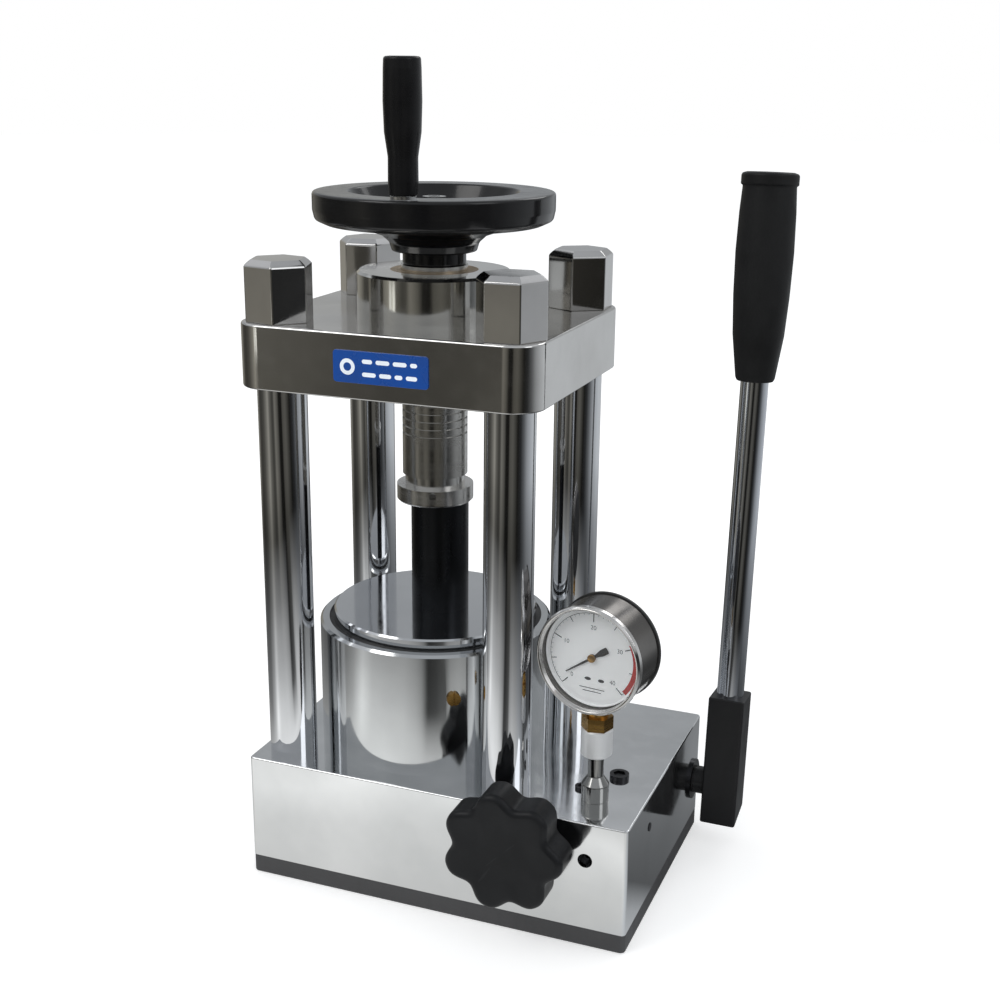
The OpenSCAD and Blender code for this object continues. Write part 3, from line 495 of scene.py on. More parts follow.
# bright colour, dark colour, roughness, waves, smudges
CHROMES = {
    "base_chrome": ((0.86, 0.865, 0.87), (0.74, 0.75, 0.755), 0.05, 0.5, 0.06),
    "column_chrome": ((0.75, 0.76, 0.78), (0.67, 0.68, 0.70), 0.04, 0.14, 0.03),
    "cylinder_chrome": ((0.66, 0.675, 0.68), (0.57, 0.58, 0.59), 0.06, 0.16, 0.04),
    "ram_chrome": ((0.72, 0.73, 0.745), (0.64, 0.65, 0.665), 0.05, 0.12, 0.04),
    "plate_chrome": ((0.72, 0.71, 0.695), (0.60, 0.59, 0.57), 0.07, 0.32, 0.05),
    "housing_chrome": ((0.78, 0.775, 0.75), (0.66, 0.655, 0.63), 0.05, 0.2, 0.05),
    "nut_chrome": ((0.72, 0.71, 0.70), (0.58, 0.57, 0.56), 0.05, 0.35, 0.04),
    "lever_chrome": ((0.70, 0.72, 0.76), (0.60, 0.62, 0.66), 0.04, 0.10, 0.03),
    "pedestal": ((0.42, 0.42, 0.41), (0.32, 0.32, 0.31), 0.06, 0.1, 0.04),
}
# bright colour, dark colour, roughness, stretch of the tool marks, their depth, anisotropy, metallic
STEELS = {
    "head_steel": ((0.74, 0.73, 0.71), (0.60, 0.59, 0.57), 0.15, (1, 1, 12), 0.04),
    "screw_steel": ((0.62, 0.61, 0.585), (0.50, 0.49, 0.47), 0.17, (1, 1, 12), 0.04),
    "bright_steel": ((0.80, 0.80, 0.80), (0.66, 0.66, 0.66), 0.14, (1, 1, 30), 0.08),
    "coupling_chrome": ((0.74, 0.755, 0.765), (0.68, 0.69, 0.70), 0.42, (1, 1, 6), 0.03, 0.0, 0.5),
    "inner_steel": ((0.50, 0.51, 0.53), (0.36, 0.37, 0.385), 0.35, (1, 1, 20)),
    "gauge_metal": ((0.78, 0.765, 0.745), (0.64, 0.625, 0.61), 0.12, (1, 1, 8), 0.04, 0.3),
    "brass": ((0.58, 0.35, 0.11), (0.32, 0.18, 0.05), 0.2, (1, 1, 20), 0.06),
    "bronze": ((0.60, 0.42, 0.21), (0.42, 0.28, 0.13), 0.28, (30, 1, 1), 0.1),
    "die_black": ((0.035, 0.037, 0.040), (0.020, 0.021, 0.023), 0.26, (1, 1, 0.3), 0.1, 0.0),
    "black_oxide": ((0.045, 0.045, 0.048), (0.02, 0.02, 0.022), 0.30, (1, 1, 1), 0.1, 0.0),
    "gauge_can": ((0.20, 0.19, 0.18), (0.15, 0.142, 0.134), 0.16, (1, 1, 8), 0.04, 0.3),
}
# colour, worn colour, roughness, grain, its fineness, wear, coat, specular level
PLASTICS = {
    "wheel_black": ((0.0035, 0.0035, 0.004), (0.012, 0.012, 0.0125), 0.16, 0.04, 260, 0.5, 0.25, 0.3),
    "crank_black": ((0.0035, 0.0035, 0.004), (0.012, 0.012, 0.0125), 0.24, 0.06, 400, 0.5, 0.05, 0.2),
    "knob_black": ((0.006, 0.0065, 0.0075), (0.018, 0.019, 0.021), 0.34, 0.12, 900, 0.5, 0.0, 0.2),
    "lever_black": ((0.006, 0.006, 0.0065), (0.02, 0.02, 0.021), 0.32, 0.16, 500, 0.7, 0.0, 0.25),
    "grip_rubber": ((0.0065, 0.0068, 0.0072), (0.016, 0.0165, 0.0175), 0.5, 0.25, 1300, 0.4, 0.0, 0.25),
    "pad_rubber": ((0.035, 0.035, 0.037), (0.075, 0.075, 0.078), 0.6, 0.35, 900, 0.5),
    "seal_rubber": ((0.012, 0.012, 0.012), (0.03, 0.03, 0.03), 0.5, 0.2, 900, 0.3),
    "gauge_black": ((0.012, 0.012, 0.013), (0.05, 0.05, 0.05), 0.35, 0.1, 600, 0.6),
    "needle_black": ((0.012, 0.014, 0.015), (0.04, 0.04, 0.042), 0.35, 0.05, 600, 0.3),
}
# colour, roughness, mottling, coat, glow
PAINTS = {
    "label_blue": ((0.002, 0.06, 0.31), 0.26, 0.82, 0.2),
    "dial_white": ((0.93, 0.955, 0.97), 0.5, 0.97, 0.0, 0.17),
    "dial_red": ((0.62, 0.035, 0.03), 0.45),
    "dial_dark": ((0.02, 0.022, 0.025), 0.45),
    "dial_grey": ((0.16, 0.165, 0.17), 0.45),
    "label_white": ((0.82, 0.88, 0.95), 0.35),
}


def make_finishes():
    """Every finish by name; the names of the record's material slots are among them."""
    made = {}
    for maker, table in ((polished, CHROMES), (machined, STEELS), (plastic, PLASTICS), (paint, PAINTS)):
        for name, values in table.items():
            made[name] = maker(name, *values)
    made["gauge_glass"] = glass("gauge_glass")
    return made


# ---------------------------------------------------------------- mesh building

DOUBLES = 1e-7  # points closer than this are one
TIP = 1e-6  # a ring smaller than this is a point


def circle(radius, count):
    turns = [2 * math.pi * i / count for i in range(count)]
    return [(radius * math.cos(t), radius * math.sin(t)) for t in turns]


def fillet_path(points, steps):
    """Points (a, b, r) of an open path; every inner corner is rounded by its r."""
    out = [points[0][:2]]
    for i in range(1, len(points) - 1):
        p = Vector(points[i][:2])
        a = Vector(points[i - 1][:2]) - p
        b = Vector(points[i + 1][:2]) - p
        r = points[i][2] if len(points[i]) > 2 else 0
        turn = math.pi - a.angle(b)
        if r <= 0 or turn < 0.02:
            out.append(tuple(p))
            continue
        t = min(r * math.tan(turn / 2), 0.48 * a.length, 0.48 * b.length)
        p0 = p + a.normalized() * t
        p1 = p + b.normalized() * t
        for k in range(steps + 1):
            u = k / steps
            out.append(tuple((1 - u) ** 2 * p0 + 2 * u * (1 - u) * p + u * u * p1))
    out.append(points[-1][:2])
    return out


def evaluated(ob):
    """A new mesh with the object's modifiers applied."""
    bpy.context.view_layer.update()
    depsgraph = bpy.context.evaluated_depsgraph_get()
    return bpy.data.meshes.new_from_object(ob.evaluated_get(depsgraph))


def drill(mesh, holes):
    """Cuts round holes, given as (start, direction, radius, depth), into a closed mesh."""
    scene = bpy.context.scene
    ob = bpy.data.objects.new("drilled", mesh)
    scene.collection.objects.link(ob)
    made = [ob]
    for start, direction, radius, depth in holes:
        bm = bmesh.new()
        bmesh.ops.create_cone(
            bm, cap_ends=True, segments=48, radius1=radius, radius2=radius, depth=depth
        )
        turn = Vector(direction).to_track_quat("Z", "Y").to_matrix().to_4x4()
        middle = Vector(start) + Vector(direction).normalized() * depth / 2
        bmesh.ops.transform(bm, matrix=Matrix.Translation(middle) @ turn, verts=bm.verts)
        tool_mesh = bpy.data.meshes.new("drill")
        bm.to_mesh(tool_mesh)
        bm.free()
        tool = bpy.data.objects.new("drill", tool_mesh)
        scene.collection.objects.link(tool)
        made.append(tool)
        cut = ob.modifiers.new("hole", "BOOLEAN")
        cut.operation = "DIFFERENCE"
        cut.solver = "EXACT"
        cut.object = tool
    result = evaluated(ob)
    for o in made:
        bpy.data.objects.remove(o)
    return result


def mark_sharp(mesh, limit):
    """Shades the mesh smooth, apart from edges that turn by more than the limit."""
    bm = bmesh.new()
    bm.from_mesh(mesh)
    for f in bm.faces:
        f.smooth = True
    for e in bm.edges:
        e.smooth = not (len(e.link_faces) == 2 and e.calc_face_angle(0) > limit)
    bm.to_mesh(mesh)
    bm.free()


def flat_faces_first(mesh):
    """Bakes normals weighted by face area: flat faces stay true mirrors beside rounded edges."""
    ob = bpy.data.objects.new("weighted", mesh)
    bpy.context.scene.collection.objects.link(ob)
    weigh = ob.modifiers.new("weigh", "WEIGHTED_NORMAL")
    weigh.mode = "FACE_AREA"
    weigh.weight = 100
    weigh.keep_sharp = True
    result = evaluated(ob)
    bpy.data.objects.remove(ob)
    return result


def finish_mesh(bm, name, body, slot_name, stands_for=(), place=None, sharp=32, look=None, holes=()):
    """Turns a bmesh into a piece of the object: shading, finish, body and the nodes it stands for."""
    bmesh.ops.remove_doubles(bm, verts=bm.verts, dist=DOUBLES)
    bmesh.ops.recalc_face_normals(bm, faces=bm.faces)
    if place is not None:
        bmesh.ops.transform(bm, matrix=place, verts=bm.verts)
    mesh = bpy.data.meshes.new(name)
    bm.to_mesh(mesh)
    bm.free()
    if holes:
        mesh = drill(mesh, holes)
    mark_sharp(mesh, math.radians(sharp))
    mesh = flat_faces_first(mesh)
    mesh.name = name
    mesh.materials.clear()
    ob = bpy.data.objects.new(name, mesh)
    bpy.context.scene.collection.objects.link(ob)
    ob.data.materials.append(finishes[look or slot_name])
    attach(ob, body)
    if stands_for:
        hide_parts(*stands_for)


def stack(bm, rings, loop=False):
    """Skins rings of equally many points; a ring of one point closes to a tip."""
    made = [[bm.verts.new(p) for p in ring] for ring in rings]
    pairs = list(zip(made, made[1:])) + ([(made[-1], made[0])] if loop else [])
    for low, high in pairs:
        n = max(len(low), len(high))
        for i in range(n):
            j = (i + 1) % n
            if len(low) == 1:
                bm.faces.new((low[0], high[j], high[i]))
            elif len(high) == 1:
                bm.faces.new((low[i], low[j], high[0]))
            else:
                bm.faces.new((low[i], low[j], high[j], high[i]))
    if not loop:
        if len(made[0]) > 2:
            bm.faces.new(list(reversed(made[0])))
        if len(made[-1]) > 2:
            bm.faces.new(made[-1])


def lathe(bm, profile, count, loop=False, centre=(0, 0)):
    rings = []
    for r, z in profile:
        if r < TIP:
            rings.append([(centre[0], centre[1], z)])
        else:
            rings.append([(x + centre[0], y + centre[1], z) for x, y in circle(r, count)])
    stack(bm, rings, loop=loop)


def turned(profile, steps, base=0.0):
    """A lathe profile from (radius, height above base, rounding of the corner) in millimetres."""
    return fillet_path([(r * MM, base + z * MM, edge * MM) for r, z, edge in profile], steps)


def offset_ring(points, normals, inset, z):
    return [(p[0] - n[0] * inset, p[1] - n[1] * inset, z) for p, n in zip(points, normals)]


def outline_normals(points):
    out = []
    n = len(points)
    for i in range(n):
        a, b = Vector(points[i - 1]), Vector(points[(i + 1) % n])
        t = (b - a).normalized()
        out.append((t.y, -t.x))
    return out


def angle_of(v):
    return math.atan2(v.y, v.x)


def rounded_polygon(corners, radius, steps):
    """Counter-clockwise outline with every corner rounded, and its outward normals."""
    points, normals = [], []
    n = len(corners)
    for i in range(n):
        p = Vector(corners[i])
        a = (Vector(corners[i - 1]) - p).normalized()
        b = (Vector(corners[(i + 1) % n]) - p).normalized()
        half = a.angle(b) / 2
        centre = p + (a + b).normalized() * (radius / math.sin(half))
        start = angle_of(p + a * radius / math.tan(half) - centre)
        end = angle_of(p + b * radius / math.tan(half) - centre)
        while end < start:
            end += 2 * math.pi
        for k in range(steps + 1):
            t = start + (end - start) * k / steps
            normals.append((math.cos(t), math.sin(t)))
            points.append((centre.x + radius * math.cos(t), centre.y + radius * math.sin(t)))
    return points, normals


def rect_corners(x0, y0, x1, y1):
    return [(x0, y0), (x1, y0), (x1, y1), (x0, y1)]


def block_rings(points, normals, z0, z1, low_round, high_round, steps=4):
    """Rings of an upright block whose lower and upper edges are rounded."""
    arcs = [math.pi / 2 * k / steps for k in range(steps + 1)]
    rings = []
    for t in arcs:
        inset, rise = low_round * (1 - math.sin(t)), low_round * (1 - math.cos(t))
        rings.append(offset_ring(points, normals, inset, z0 + rise))
    for t in arcs:
        inset, drop = high_round * (1 - math.cos(t)), high_round * (1 - math.sin(t))
        rings.append(offset_ring(points, normals, inset, z1 - drop))
    return rings


def box_block(bm, node, corner, corner_steps, low_round, high_round):
    """A block that fills a CAD node's box, with rounded corners and edges in millimetres."""
    lo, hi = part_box(node)
    outline = rounded_polygon(rect_corners(lo.x, lo.y, hi.x, hi.y), corner * MM, corner_steps)
    stack(bm, block_rings(*outline, lo.z, hi.z, low_round * MM, high_round * MM))


def centre_of(node):
    lo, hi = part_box(node)
    return (lo + hi) / 2


def placed(at, angle=0.0, axis="X"):
    return Matrix.Translation(at) @ Matrix.Rotation(angle, 4, axis)


def paint_cad_nodes():
    """Gives every CAD node the finish of its material slot."""
    for sub in frame["record"]["subparts"]:
        ob = nodes[sub["node"]]
        for i in range(len(ob.material_slots)):
            ob.material_slots[i].link = "DATA"
            ob.data.materials[i] = finishes[sub["material_slot"]]
    nodes["gauge_window"].visible_shadow = False


# ---------------------------------------------------------------- base, plate and nuts

RELIEF_HOLE_R = 4.2 * MM
RELIEF_HOLE_DEPTH = 12 * MM
PLUG_HOLE_R = 2.5 * MM
PLUG_HOLE_DEPTH = 6 * MM
DRILL_LEAD = 4 * MM  # how far outside the wall a drill starts


def make_base_shell():
    bm = bmesh.new()
    box_block(bm, "base_housing", 2.5, 5, 0.3, 0.9)
    lo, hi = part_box("base_housing")
    relief = centre_of("relief_screw")
    side = centre_of("side_plug")
    holes = [
        ((relief.x, lo.y - DRILL_LEAD, relief.z), (0, 1, 0), RELIEF_HOLE_R, DRILL_LEAD + RELIEF_HOLE_DEPTH),
        ((hi.x + DRILL_LEAD, side.y, side.z), (-1, 0, 0), PLUG_HOLE_R, DRILL_LEAD + PLUG_HOLE_DEPTH),
    ]
    finish_mesh(bm, "base_shell", "frame", "base_chrome", ("base_housing",), holes=holes)


def make_rubber_pad():
    bm = bmesh.new()
    box_block(bm, "base_pad", 3.0, 5, 0.8, 0.5)
    finish_mesh(bm, "rubber_pad", "frame", "pad_rubber", ("base_pad",))


def make_crown_plate():
    bm = bmesh.new()
    box_block(bm, "top_plate", 18, 12, 1.0, 1.4)
    finish_mesh(bm, "crown_plate", "frame", "plate_chrome", ("top_plate",))


NUT_ACROSS = 34 * MM
NUT_EDGE = 1.1 * MM
NUT_FOOT = 0.4 * MM
NUT_CROWN = 5 * MM
CROWN_STEPS = 7
CROWN_CURVE = 1.6
CORNER_SHARE = 0.155  # how much further out a hexagon's corner is than its flat
NUT_TURNS = {  # degrees
    "column_front_left": -12, "column_rear_left": 8,
    "column_front_right": 4, "column_rear_right": -26,
}


def hex_nut(bm, centre, z0, z1, turn):
    """Tall nut: rounded upright edges, and corners cut off by a cone at the top."""
    half = NUT_ACROSS / 2
    r = half / math.cos(math.pi / 6)
    corners = [(r * math.cos(turn + i * math.pi / 3), r * math.sin(turn + i * math.pi / 3)) for i in range(6)]
    pts, nrm = rounded_polygon(corners, NUT_EDGE, 4)
    rings = [offset_ring(pts, nrm, NUT_FOOT, z0), offset_ring(pts, nrm, 0, z0 + NUT_FOOT)]
    widest = half * (1 + CORNER_SHARE) + 0.5 * MM
    cut = half * CORNER_SHARE + 2.2 * MM
    for k in range(CROWN_STEPS + 1):
        u = k / CROWN_STEPS
        cone = widest - cut * u ** CROWN_CURVE
        ring = []
        for x, y in pts:
            s = min(1.0, cone / math.hypot(x, y))
            ring.append((x * s, y * s, z1 - NUT_CROWN + NUT_CROWN * u))
        rings.append(ring)
    rings.append([(x * 0.95, y * 0.95, z) for x, y, z in rings[-1]])
    stack(bm, [[(x + centre.x, y + centre.y, z) for x, y, z in ring] for ring in rings])


def make_tall_nuts():
    plate_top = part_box("top_plate")[1].z
    nut_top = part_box("column_top_nuts")[1].z
    bm = bmesh.new()
    for node, turn in NUT_TURNS.items():
        hex_nut(bm, centre_of(node), plate_top, nut_top, math.radians(turn))
    finish_mesh(bm, "tall_nuts", "frame", "nut_chrome", ("column_top_nuts",), sharp=28)


# ---------------------------------------------------------------- handwheel and crank

def make_handwheel():
    lo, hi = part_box("handwheel")
    rim = (hi.x - lo.x) / 2 / MM
    top = (hi.z - lo.z) / MM
    profile = [
        (12, 0, 0), (18, 0, 1.2), (18, 7.6, 0.6), (24, 7.5, 1.2), (25.5, 12.5, 4), (30, 16.5, 4),
        (42, 20.5, 8), (rim - 7, top - 18, 3), (rim - 1.2, top - 15.4, 3.0), (rim, top - 10, 3),
        (rim, top - 0.2, 2.6), (rim - 4, top, 1.5), (rim - 20, top, 1.8), (rim - 25, top - 9, 3),
        (21, top - 12, 3), (18, top - 10.2, 0.8), (12, top - 10.2, 0),
    ]
    bm = bmesh.new()
    lathe(bm, turned(profile, 6, lo.z), 144, loop=True)
    finish_mesh(bm, "handwheel_disc", "screw_and_wheel", "wheel_black", ("handwheel",))


def make_crank_grip():
    lo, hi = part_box("crank_grip")
    c = (lo + hi) / 2
    top = (hi.z - lo.z) / MM
    profile = [
        (4.06, 0, 0), (7.6, 0, 0.8), (8.0, 0.10 * top, 6), (7.9, 0.28 * top, 10),
        (9.7, 0.46 * top, 12), (10.2, 0.68 * top, 12), (9.9, top - 6, 4), (9.6, top - 0.3, 2.6),
        (6.5, top, 2), (0, top, 0),
    ]
    bm = bmesh.new()
    lathe(bm, turned(profile, 7, lo.z), 72, centre=(c.x, c.y))
    finish_mesh(bm, "crank_handle_grip", "crank_handle", "crank_black", ("crank_grip",))


# ---------------------------------------------------------------- star knob of the release valve

KNOB_R = 35 * MM
KNOB_VALLEY = 6.2 * MM
KNOB_LOBES = 7
KNOB_WAVE = 1.35  # above 1, the lobes are broader than the valleys
KNOB_TURN = math.radians(152.8 - 3 * 360 / KNOB_LOBES)
KNOB_POINTS = 336


def star_outline():
    points = []
    for i in range(KNOB_POINTS):
        a = 2 * math.pi * i / KNOB_POINTS
        r = KNOB_R - KNOB_VALLEY * ((1 - math.cos(KNOB_LOBES * a)) / 2) ** KNOB_WAVE
        points.append((r * math.cos(a + KNOB_TURN), r * math.sin(a + KNOB_TURN)))
    return points


def star_scaled(star, share, z, roundness):
    """The star's outline shrunk towards its middle, and turned into a circle as it shrinks."""
    out = []
    for x, y in star:
        d = math.hypot(x, y)
        r = (d * (1 - roundness) + (KNOB_R - KNOB_VALLEY) * roundness) * share
        out.append((x / d * r, y / d * r, z))
    return out


def make_star_knob():
    lo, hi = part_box("release_knob")
    c = (lo + hi) / 2
    thick = hi.y - lo.y
    star = star_outline()
    rings = [[(0, 0, 0.0)], star_scaled(star, 0.3, 0.0, 1.0), star_scaled(star, 0.7, 0.0, 0.5)]
    rings += block_rings(star, outline_normals(star), 0.0, thick, 2.0 * MM, 3.4 * MM, 6)
    for share, rise, roundness in (
        (0.86, 0.02, 0.05), (0.78, -0.12, 0.2), (0.68, -0.45, 0.45), (0.58, -0.8, 0.7),
        (0.46, -1.05, 1.0), (0.3, -1.15, 1.0), (0.15, -1.2, 1.0),
    ):
        rings.append(star_scaled(star, share, thick + rise * MM, roundness))
    rings.append([(0, 0, thick - 1.2 * MM)])
    bm = bmesh.new()
    stack(bm, rings)
    place = placed((c.x, hi.y, c.z), math.pi / 2)
    finish_mesh(bm, "star_knob", "valve_knob", "knob_black", ("release_knob",), place, sharp=60)


# ---------------------------------------------------------------- lever

# The lever's own frame stands on its pivot and leans back with it.
LEVER_FRAME = placed(Vector((169, 62, 38)) * MM, math.radians(-5))
GRIP_LOW = 254
GRIP_HIGH = 374.5
SOCKET_LOW = -23 * MM
SOCKET_HIGH = 59 * MM
HEEL_FRONT = 3.0 * MM
HEEL_REACH = 14 * MM  # rings lower than this above the foot are cut


def make_lever_grip():
    low, high = GRIP_LOW, GRIP_HIGH
    profile = [
        (8.3, low + 2, 0), (8.3, low, 0.2), (10.6, low, 1.0), (11.6, low + 2, 1.2),
        (15.0, low + 27, 18), (16.3, low + 50, 22), (16.85, low + 75, 22), (16.3, low + 98, 20),
        (15.5, low + 111.6, 1.0), (15.5, low + 112.6, 0.4), (16.6, low + 113.4, 0.7),
        (16.6, high - 1.0, 2.0), (13.6, high - 0.1, 2.0), (9, high, 0), (0, high, 0),
    ]
    bm = bmesh.new()
    lathe(bm, turned(profile, 7), 96)
    finish_mesh(bm, "lever_hand_grip", "lever", "grip_rubber", ("lever_grip",), LEVER_FRAME)


def cut_heel(ring):
    """The lower rear edge of the socket is sloped so that the lever can lean back."""
    if ring[0][2] >= SOCKET_LOW + HEEL_REACH:
        return ring
    return [(x, y, max(z, SOCKET_LOW + max(0.0, y - HEEL_FRONT))) for x, y, z in ring]


def make_lever_block():
    pts, nrm = rounded_polygon(rect_corners(-11 * MM, -12 * MM, 11 * MM, 12 * MM), 1.6 * MM, 4)
    rings = block_rings(pts, nrm, SOCKET_LOW, SOCKET_HIGH, 1.2 * MM, 1.2 * MM)
    bm = bmesh.new()
    stack(bm, [cut_heel(ring) for ring in rings])
    finish_mesh(bm, "lever_block", "lever", "lever_black", ("lever_socket",), LEVER_FRAME, sharp=40)


# ---------------------------------------------------------------- gauge

# The gauge's own frame has its origin in the middle of the case, Y up and Z out of the dial.
GAUGE_FRAME = placed(Vector((120.5, -53, 163.3)) * MM, math.radians(-8), "Z") @ placed((0, 0, 0), math.pi / 2)
CASE_R = 30
RIM_R = CASE_R + 0.9
DIAL_R = CASE_R - 1.9
FACE = 7.8  # height of the printed face
STEM_R = 4.5
CONE_R = 7.8


def make_gauge_stem():
    lo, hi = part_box("gauge_pedestal")
    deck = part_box("base_housing")[1].z
    foot, top = (lo.z - deck) / MM, (hi.z - deck) / MM
    profile = [
        (0, foot, 0), (STEM_R, foot, 0), (STEM_R, 0, 0), (CONE_R, 0, 0.3), (CONE_R, 9.5, 1.5),
        (STEM_R, 14.5, 1.5), (STEM_R, top, 0), (0, top, 0),
    ]
    bm = bmesh.new()
    lathe(bm, turned(profile, 4, deck), 64, centre=((lo.x + hi.x) / 2, (lo.y + hi.y) / 2))
    finish_mesh(bm, "gauge_stem", "frame", "bright_steel", ("gauge_pedestal",), look="pedestal")


# piece: node, slot, finish, steps of a rounding, closed to a ring, profile
GAUGE_SHELLS = {
    "gauge_can": ("gauge_case", "gauge_metal", "gauge_can", 4, False, [
        (0, -11, 0), (CASE_R - 0.3, -11, 0.2), (CASE_R, -10.7, 0.6), (CASE_R, 11.7, 0),
        (CASE_R - 1.2, 11.7, 0), (CASE_R - 1.2, 6.0, 0), (0, 6.0, 0),
    ]),
    "gauge_rear_cover": ("gauge_back", "gauge_black", None, 4, False, [
        (0, -13.5, 0), (26, -13.5, 1), (RIM_R, -13.2, 0.8), (RIM_R, -11.2, 0.5),
        (CASE_R - 0.2, -11, 0), (0, -11, 0),
    ]),
    "gauge_rim": ("gauge_bezel", "gauge_metal", None, 4, True, [
        (CASE_R + 0.05, 11.5, 0), (CASE_R + 0.75, 11.5, 0.2), (RIM_R, 12.0, 0.3),
        (RIM_R, 14.6, 0.7), (CASE_R - 0.3, 16.0, 0.6), (CASE_R - 1.1, 15.6, 0.5),
        (DIAL_R, 13.7, 0.2), (DIAL_R, 13.5, 0), (CASE_R + 0.05, 13.5, 0),
    ]),
    "gauge_face": ("gauge_dial", "dial_white", None, 3, True, [
        (2.0, 7.0, 0), (DIAL_R, 7.0, 0), (DIAL_R, 8.4, 0.2), (DIAL_R - 0.5, 8.4, 0.2),
        (DIAL_R - 1.1, FACE, 0.3), (2.0, FACE, 0),
    ]),
}


def make_gauge_shells():
    for name, (node, slot, look, steps, loop, profile) in GAUGE_SHELLS.items():
        bm = bmesh.new()
        lathe(bm, turned(profile, steps), 120, loop=loop)
        finish_mesh(bm, name, "frame", slot, (node,), GAUGE_FRAME, look=look)


# ---------------------------------------------------------------- dial print and needle

INK = 0.06 * MM  # thickness of the print on the dial
SCALE_END = 135  # degrees from up, counter-clockwise seen from the front
SCALE_MARKS = 40
SCALE_R = 25.2
SCALE_LINE = 0.25
LIMIT_ARC = (-62, -131)  # degrees
OVAL_WIDTH = 3.8 * MM  # blobs that stand for the unit's lettering
OVAL_HEIGHT = 1.9 * MM
OVAL_Y = -12.6 * MM
NUMBERS = ("0", "10", "20", "30", "40")
NUMBER_SIZE = 3.5 * MM
NUMBER_R = 17.2 * MM
NEEDLE_AT = math.radians(125)


def flat_patch(bm, points, z, thick=INK):
    """A thin printed patch; its points are in metres."""
    stack(bm, [[(x, y, z) for x, y in points], [(x, y, z + thick) for x, y in points]])


def bar(bm, r0, r1, angle, width):
    """A radial scale mark in millimetres."""
    a = math.radians(angle)
    out = Vector((-math.sin(a), math.cos(a))) * MM
    half = Vector((math.cos(a), math.sin(a))) * MM * width / 2
    corners = (out * r0 + half, out * r1 + half, out * r1 - half, out * r0 - half)
    flat_patch(bm, [tuple(p) for p in corners], FACE * MM)


def arc(bm, r0, r1, start, end, z, steps):
    """A printed stretch of a ring, with radii and height in millimetres and angles in degrees."""
    outer, inner = [], []
    for i in range(steps + 1):
        a = math.radians(start + (end - start) * i / steps)
        outer.append((-math.sin(a) * r1 * MM, math.cos(a) * r1 * MM))
        inner.append((-math.sin(a) * r0 * MM, math.cos(a) * r0 * MM))
    outline = outer + inner[::-1]
    low = [bm.verts.new((x, y, z * MM)) for x, y in outline]
    high = [bm.verts.new((x, y, z * MM + INK)) for x, y in outline]
    n = len(outline)
    for i in range(n):
        j = (i + 1) % n
        bm.faces.new((low[i], low[j], high[j], high[i]))
    for i in range(steps):
        bm.faces.new((high[i], high[i + 1], high[n - 2 - i], high[n - 1 - i]))


def make_dial_marks():
    bm = bmesh.new()
    for i in range(SCALE_MARKS + 1):
        angle = SCALE_END - 2 * SCALE_END * i / SCALE_MARKS
        if i % 10 == 0:
            inner, width = 20.5, 0.55
        elif i % 5 == 0:
            inner, width = 22, 0.4
        else:
            inner, width = 24.1, 0.16
        bar(bm, inner, SCALE_R, angle, width)
    arc(bm, SCALE_R, SCALE_R + SCALE_LINE, SCALE_END, -SCALE_END, FACE, 90)
    for x in (-2.6, 5.4):
        oval = [(x * MM + a * OVAL_WIDTH, OVAL_Y + b * OVAL_HEIGHT) for a, b in circle(0.5, 20)]
        flat_patch(bm, oval, FACE * MM)
    for half, y in ((7.5, -18.2), (5.5, -20.0)):
        flat_patch(bm, rect_corners(-half * MM, y * MM, half * MM, (y + 0.45) * MM), FACE * MM)
    finish_mesh(bm, "dial_marks", "frame", "needle_black", (), GAUGE_FRAME, look="dial_dark")

    bm = bmesh.new()
    arc(bm, 23.9, 26.6, *LIMIT_ARC, FACE + 0.07, 40)
    finish_mesh(bm, "dial_limit_arc", "frame", "needle_black", (), GAUGE_FRAME, look="dial_red")


def make_dial_numbers():
    for i, label in enumerate(NUMBERS):
        a = math.radians(SCALE_END - 2 * SCALE_END * i / (len(NUMBERS) - 1))
        curve = bpy.data.curves.new(f"dial_number_{i}", "FONT")
        curve.body = label
        curve.size = NUMBER_SIZE
        curve.extrude = INK / 2
        curve.align_x, curve.align_y = "CENTER", "CENTER"
        ob = bpy.data.objects.new(f"dial_number_{i}", curve)
        bpy.context.scene.collection.objects.link(ob)
        at = (-math.sin(a) * NUMBER_R, math.cos(a) * NUMBER_R, FACE * MM + INK / 2)
        ob.matrix_world = GAUGE_FRAME @ Matrix.Translation(at)
        ob.data.materials.append(finishes["dial_grey"])
        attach(ob, "frame")


# The right half of the needle from tip to tail, as (half width, distance towards the tip).
NEEDLE_HALF = ((0.32, 19.0), (0.75, 2.0), (0.9, -3.0), (1.9, -7.0), (1.9, -10.6), (0.9, -11.0))


def make_needle():
    """Tapered pointer with a broad tail, on a brass boss."""
    left = [(-x * MM, y * MM) for x, y in NEEDLE_HALF]
    right = [(x * MM, y * MM) for x, y in reversed(NEEDLE_HALF)]
    pts = left + right
    low, edge, high = 8.3 * MM, 8.65 * MM, 8.8 * MM
    bm = bmesh.new()
    stack(bm, [
        [(x, y, low) for x, y in pts],
        [(x, y, edge) for x, y in pts],
        [(x * 0.8, y * 0.99, high) for x, y in pts],
    ])
    place = GAUGE_FRAME @ Matrix.Rotation(NEEDLE_AT, 4, "Z")
    finish_mesh(bm, "needle_pointer", "needle", "needle_black", ("gauge_needle",), place, sharp=50)

    profile = [(0, 8.0, 0), (1.0, 8.0, 0), (1.0, 8.9, 0), (2.3, 8.9, 0.3), (2.3, 10.2, 0.6), (0, 10.4, 0)]
    bm = bmesh.new()
    lathe(bm, turned(profile, 5), 40)
    finish_mesh(bm, "needle_boss", "needle", "brass", (), GAUGE_FRAME)


# ---------------------------------------------------------------- label

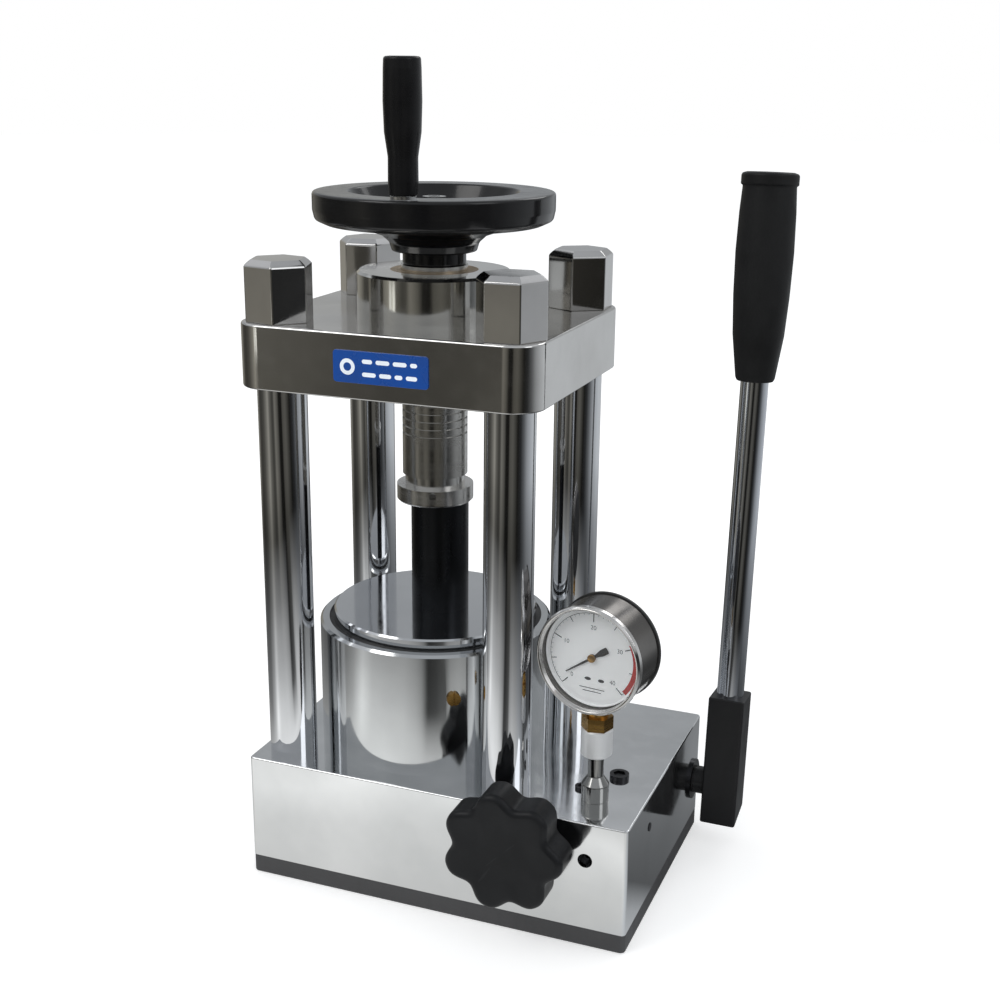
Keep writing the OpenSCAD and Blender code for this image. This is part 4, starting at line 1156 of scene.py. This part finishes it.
LABEL_INK = 0.05 * MM
LABEL_RING = (-19.2, 4.4, 2.3)  # place, outer and inner radius in millimetres
RING_POINTS = 40
BAR_HEIGHT = 2.3
BAR_ROWS = (  # height of a row above the middle, and its bars from left to right
    (3.4, ((-10.5, -4.5), (-2.5, 5.5), (7.5, 15.5), (17.5, 21.5))),
    (-3.6, ((-10.5, -2.5), (-0.5, 6.5), (8.5, 13.0), (15.0, 21.5))),
)


def pill(bm, x0, x1, y, z):
    """A bar with round ends, in millimetres apart from its height z."""
    r = BAR_HEIGHT / 2
    turns = [math.pi / 2 + math.pi * k / 8 for k in range(9)]
    ends = [(x0 + r + r * math.cos(t), y + r * math.sin(t)) for t in turns]
    ends += [(x1 - r - r * math.cos(t), y - r * math.sin(t)) for t in turns]
    flat_patch(bm, [(a * MM, b * MM) for a, b in ends], z, LABEL_INK)


def make_label():
    lo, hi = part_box("name_plate")
    c = (lo + hi) / 2
    place = placed((c.x, hi.y, c.z), math.pi / 2)
    w, h, thick = hi.x - lo.x, hi.z - lo.z, hi.y - lo.y
    pts, nrm = rounded_polygon(rect_corners(-w / 2, -h / 2, w / 2, h / 2), 2 * MM, 6)
    bm = bmesh.new()
    stack(bm, block_rings(pts, nrm, 0.0, thick, 0.05 * MM, 0.25 * MM, 3))
    finish_mesh(bm, "blue_label", "frame", "label_blue", ("name_plate",), place)

    at, outer, inner = (v * MM for v in LABEL_RING)
    rings = []
    for r, z in ((outer, thick), (outer, thick + LABEL_INK), (inner, thick + LABEL_INK), (inner, thick)):
        rings.append([(at + x, y, z) for x, y in circle(r, RING_POINTS)])
    bm = bmesh.new()
    stack(bm, rings, loop=True)
    for y, spans in BAR_ROWS:
        for x0, x1 in spans:
            pill(bm, x0, x1, y, thick)
    finish_mesh(bm, "label_marks", "frame", "label_blue", (), place, look="label_white")


# ---------------------------------------------------------------- everything in order

make_camera()
make_studio()
finishes = make_finishes()
paint_cad_nodes()
make_base_shell()
make_rubber_pad()
make_crown_plate()
make_tall_nuts()
make_handwheel()
make_crank_grip()
make_star_knob()
make_lever_grip()
make_lever_block()
make_gauge_stem()
make_gauge_shells()
make_dial_marks()
make_dial_numbers()
make_needle()
make_label()
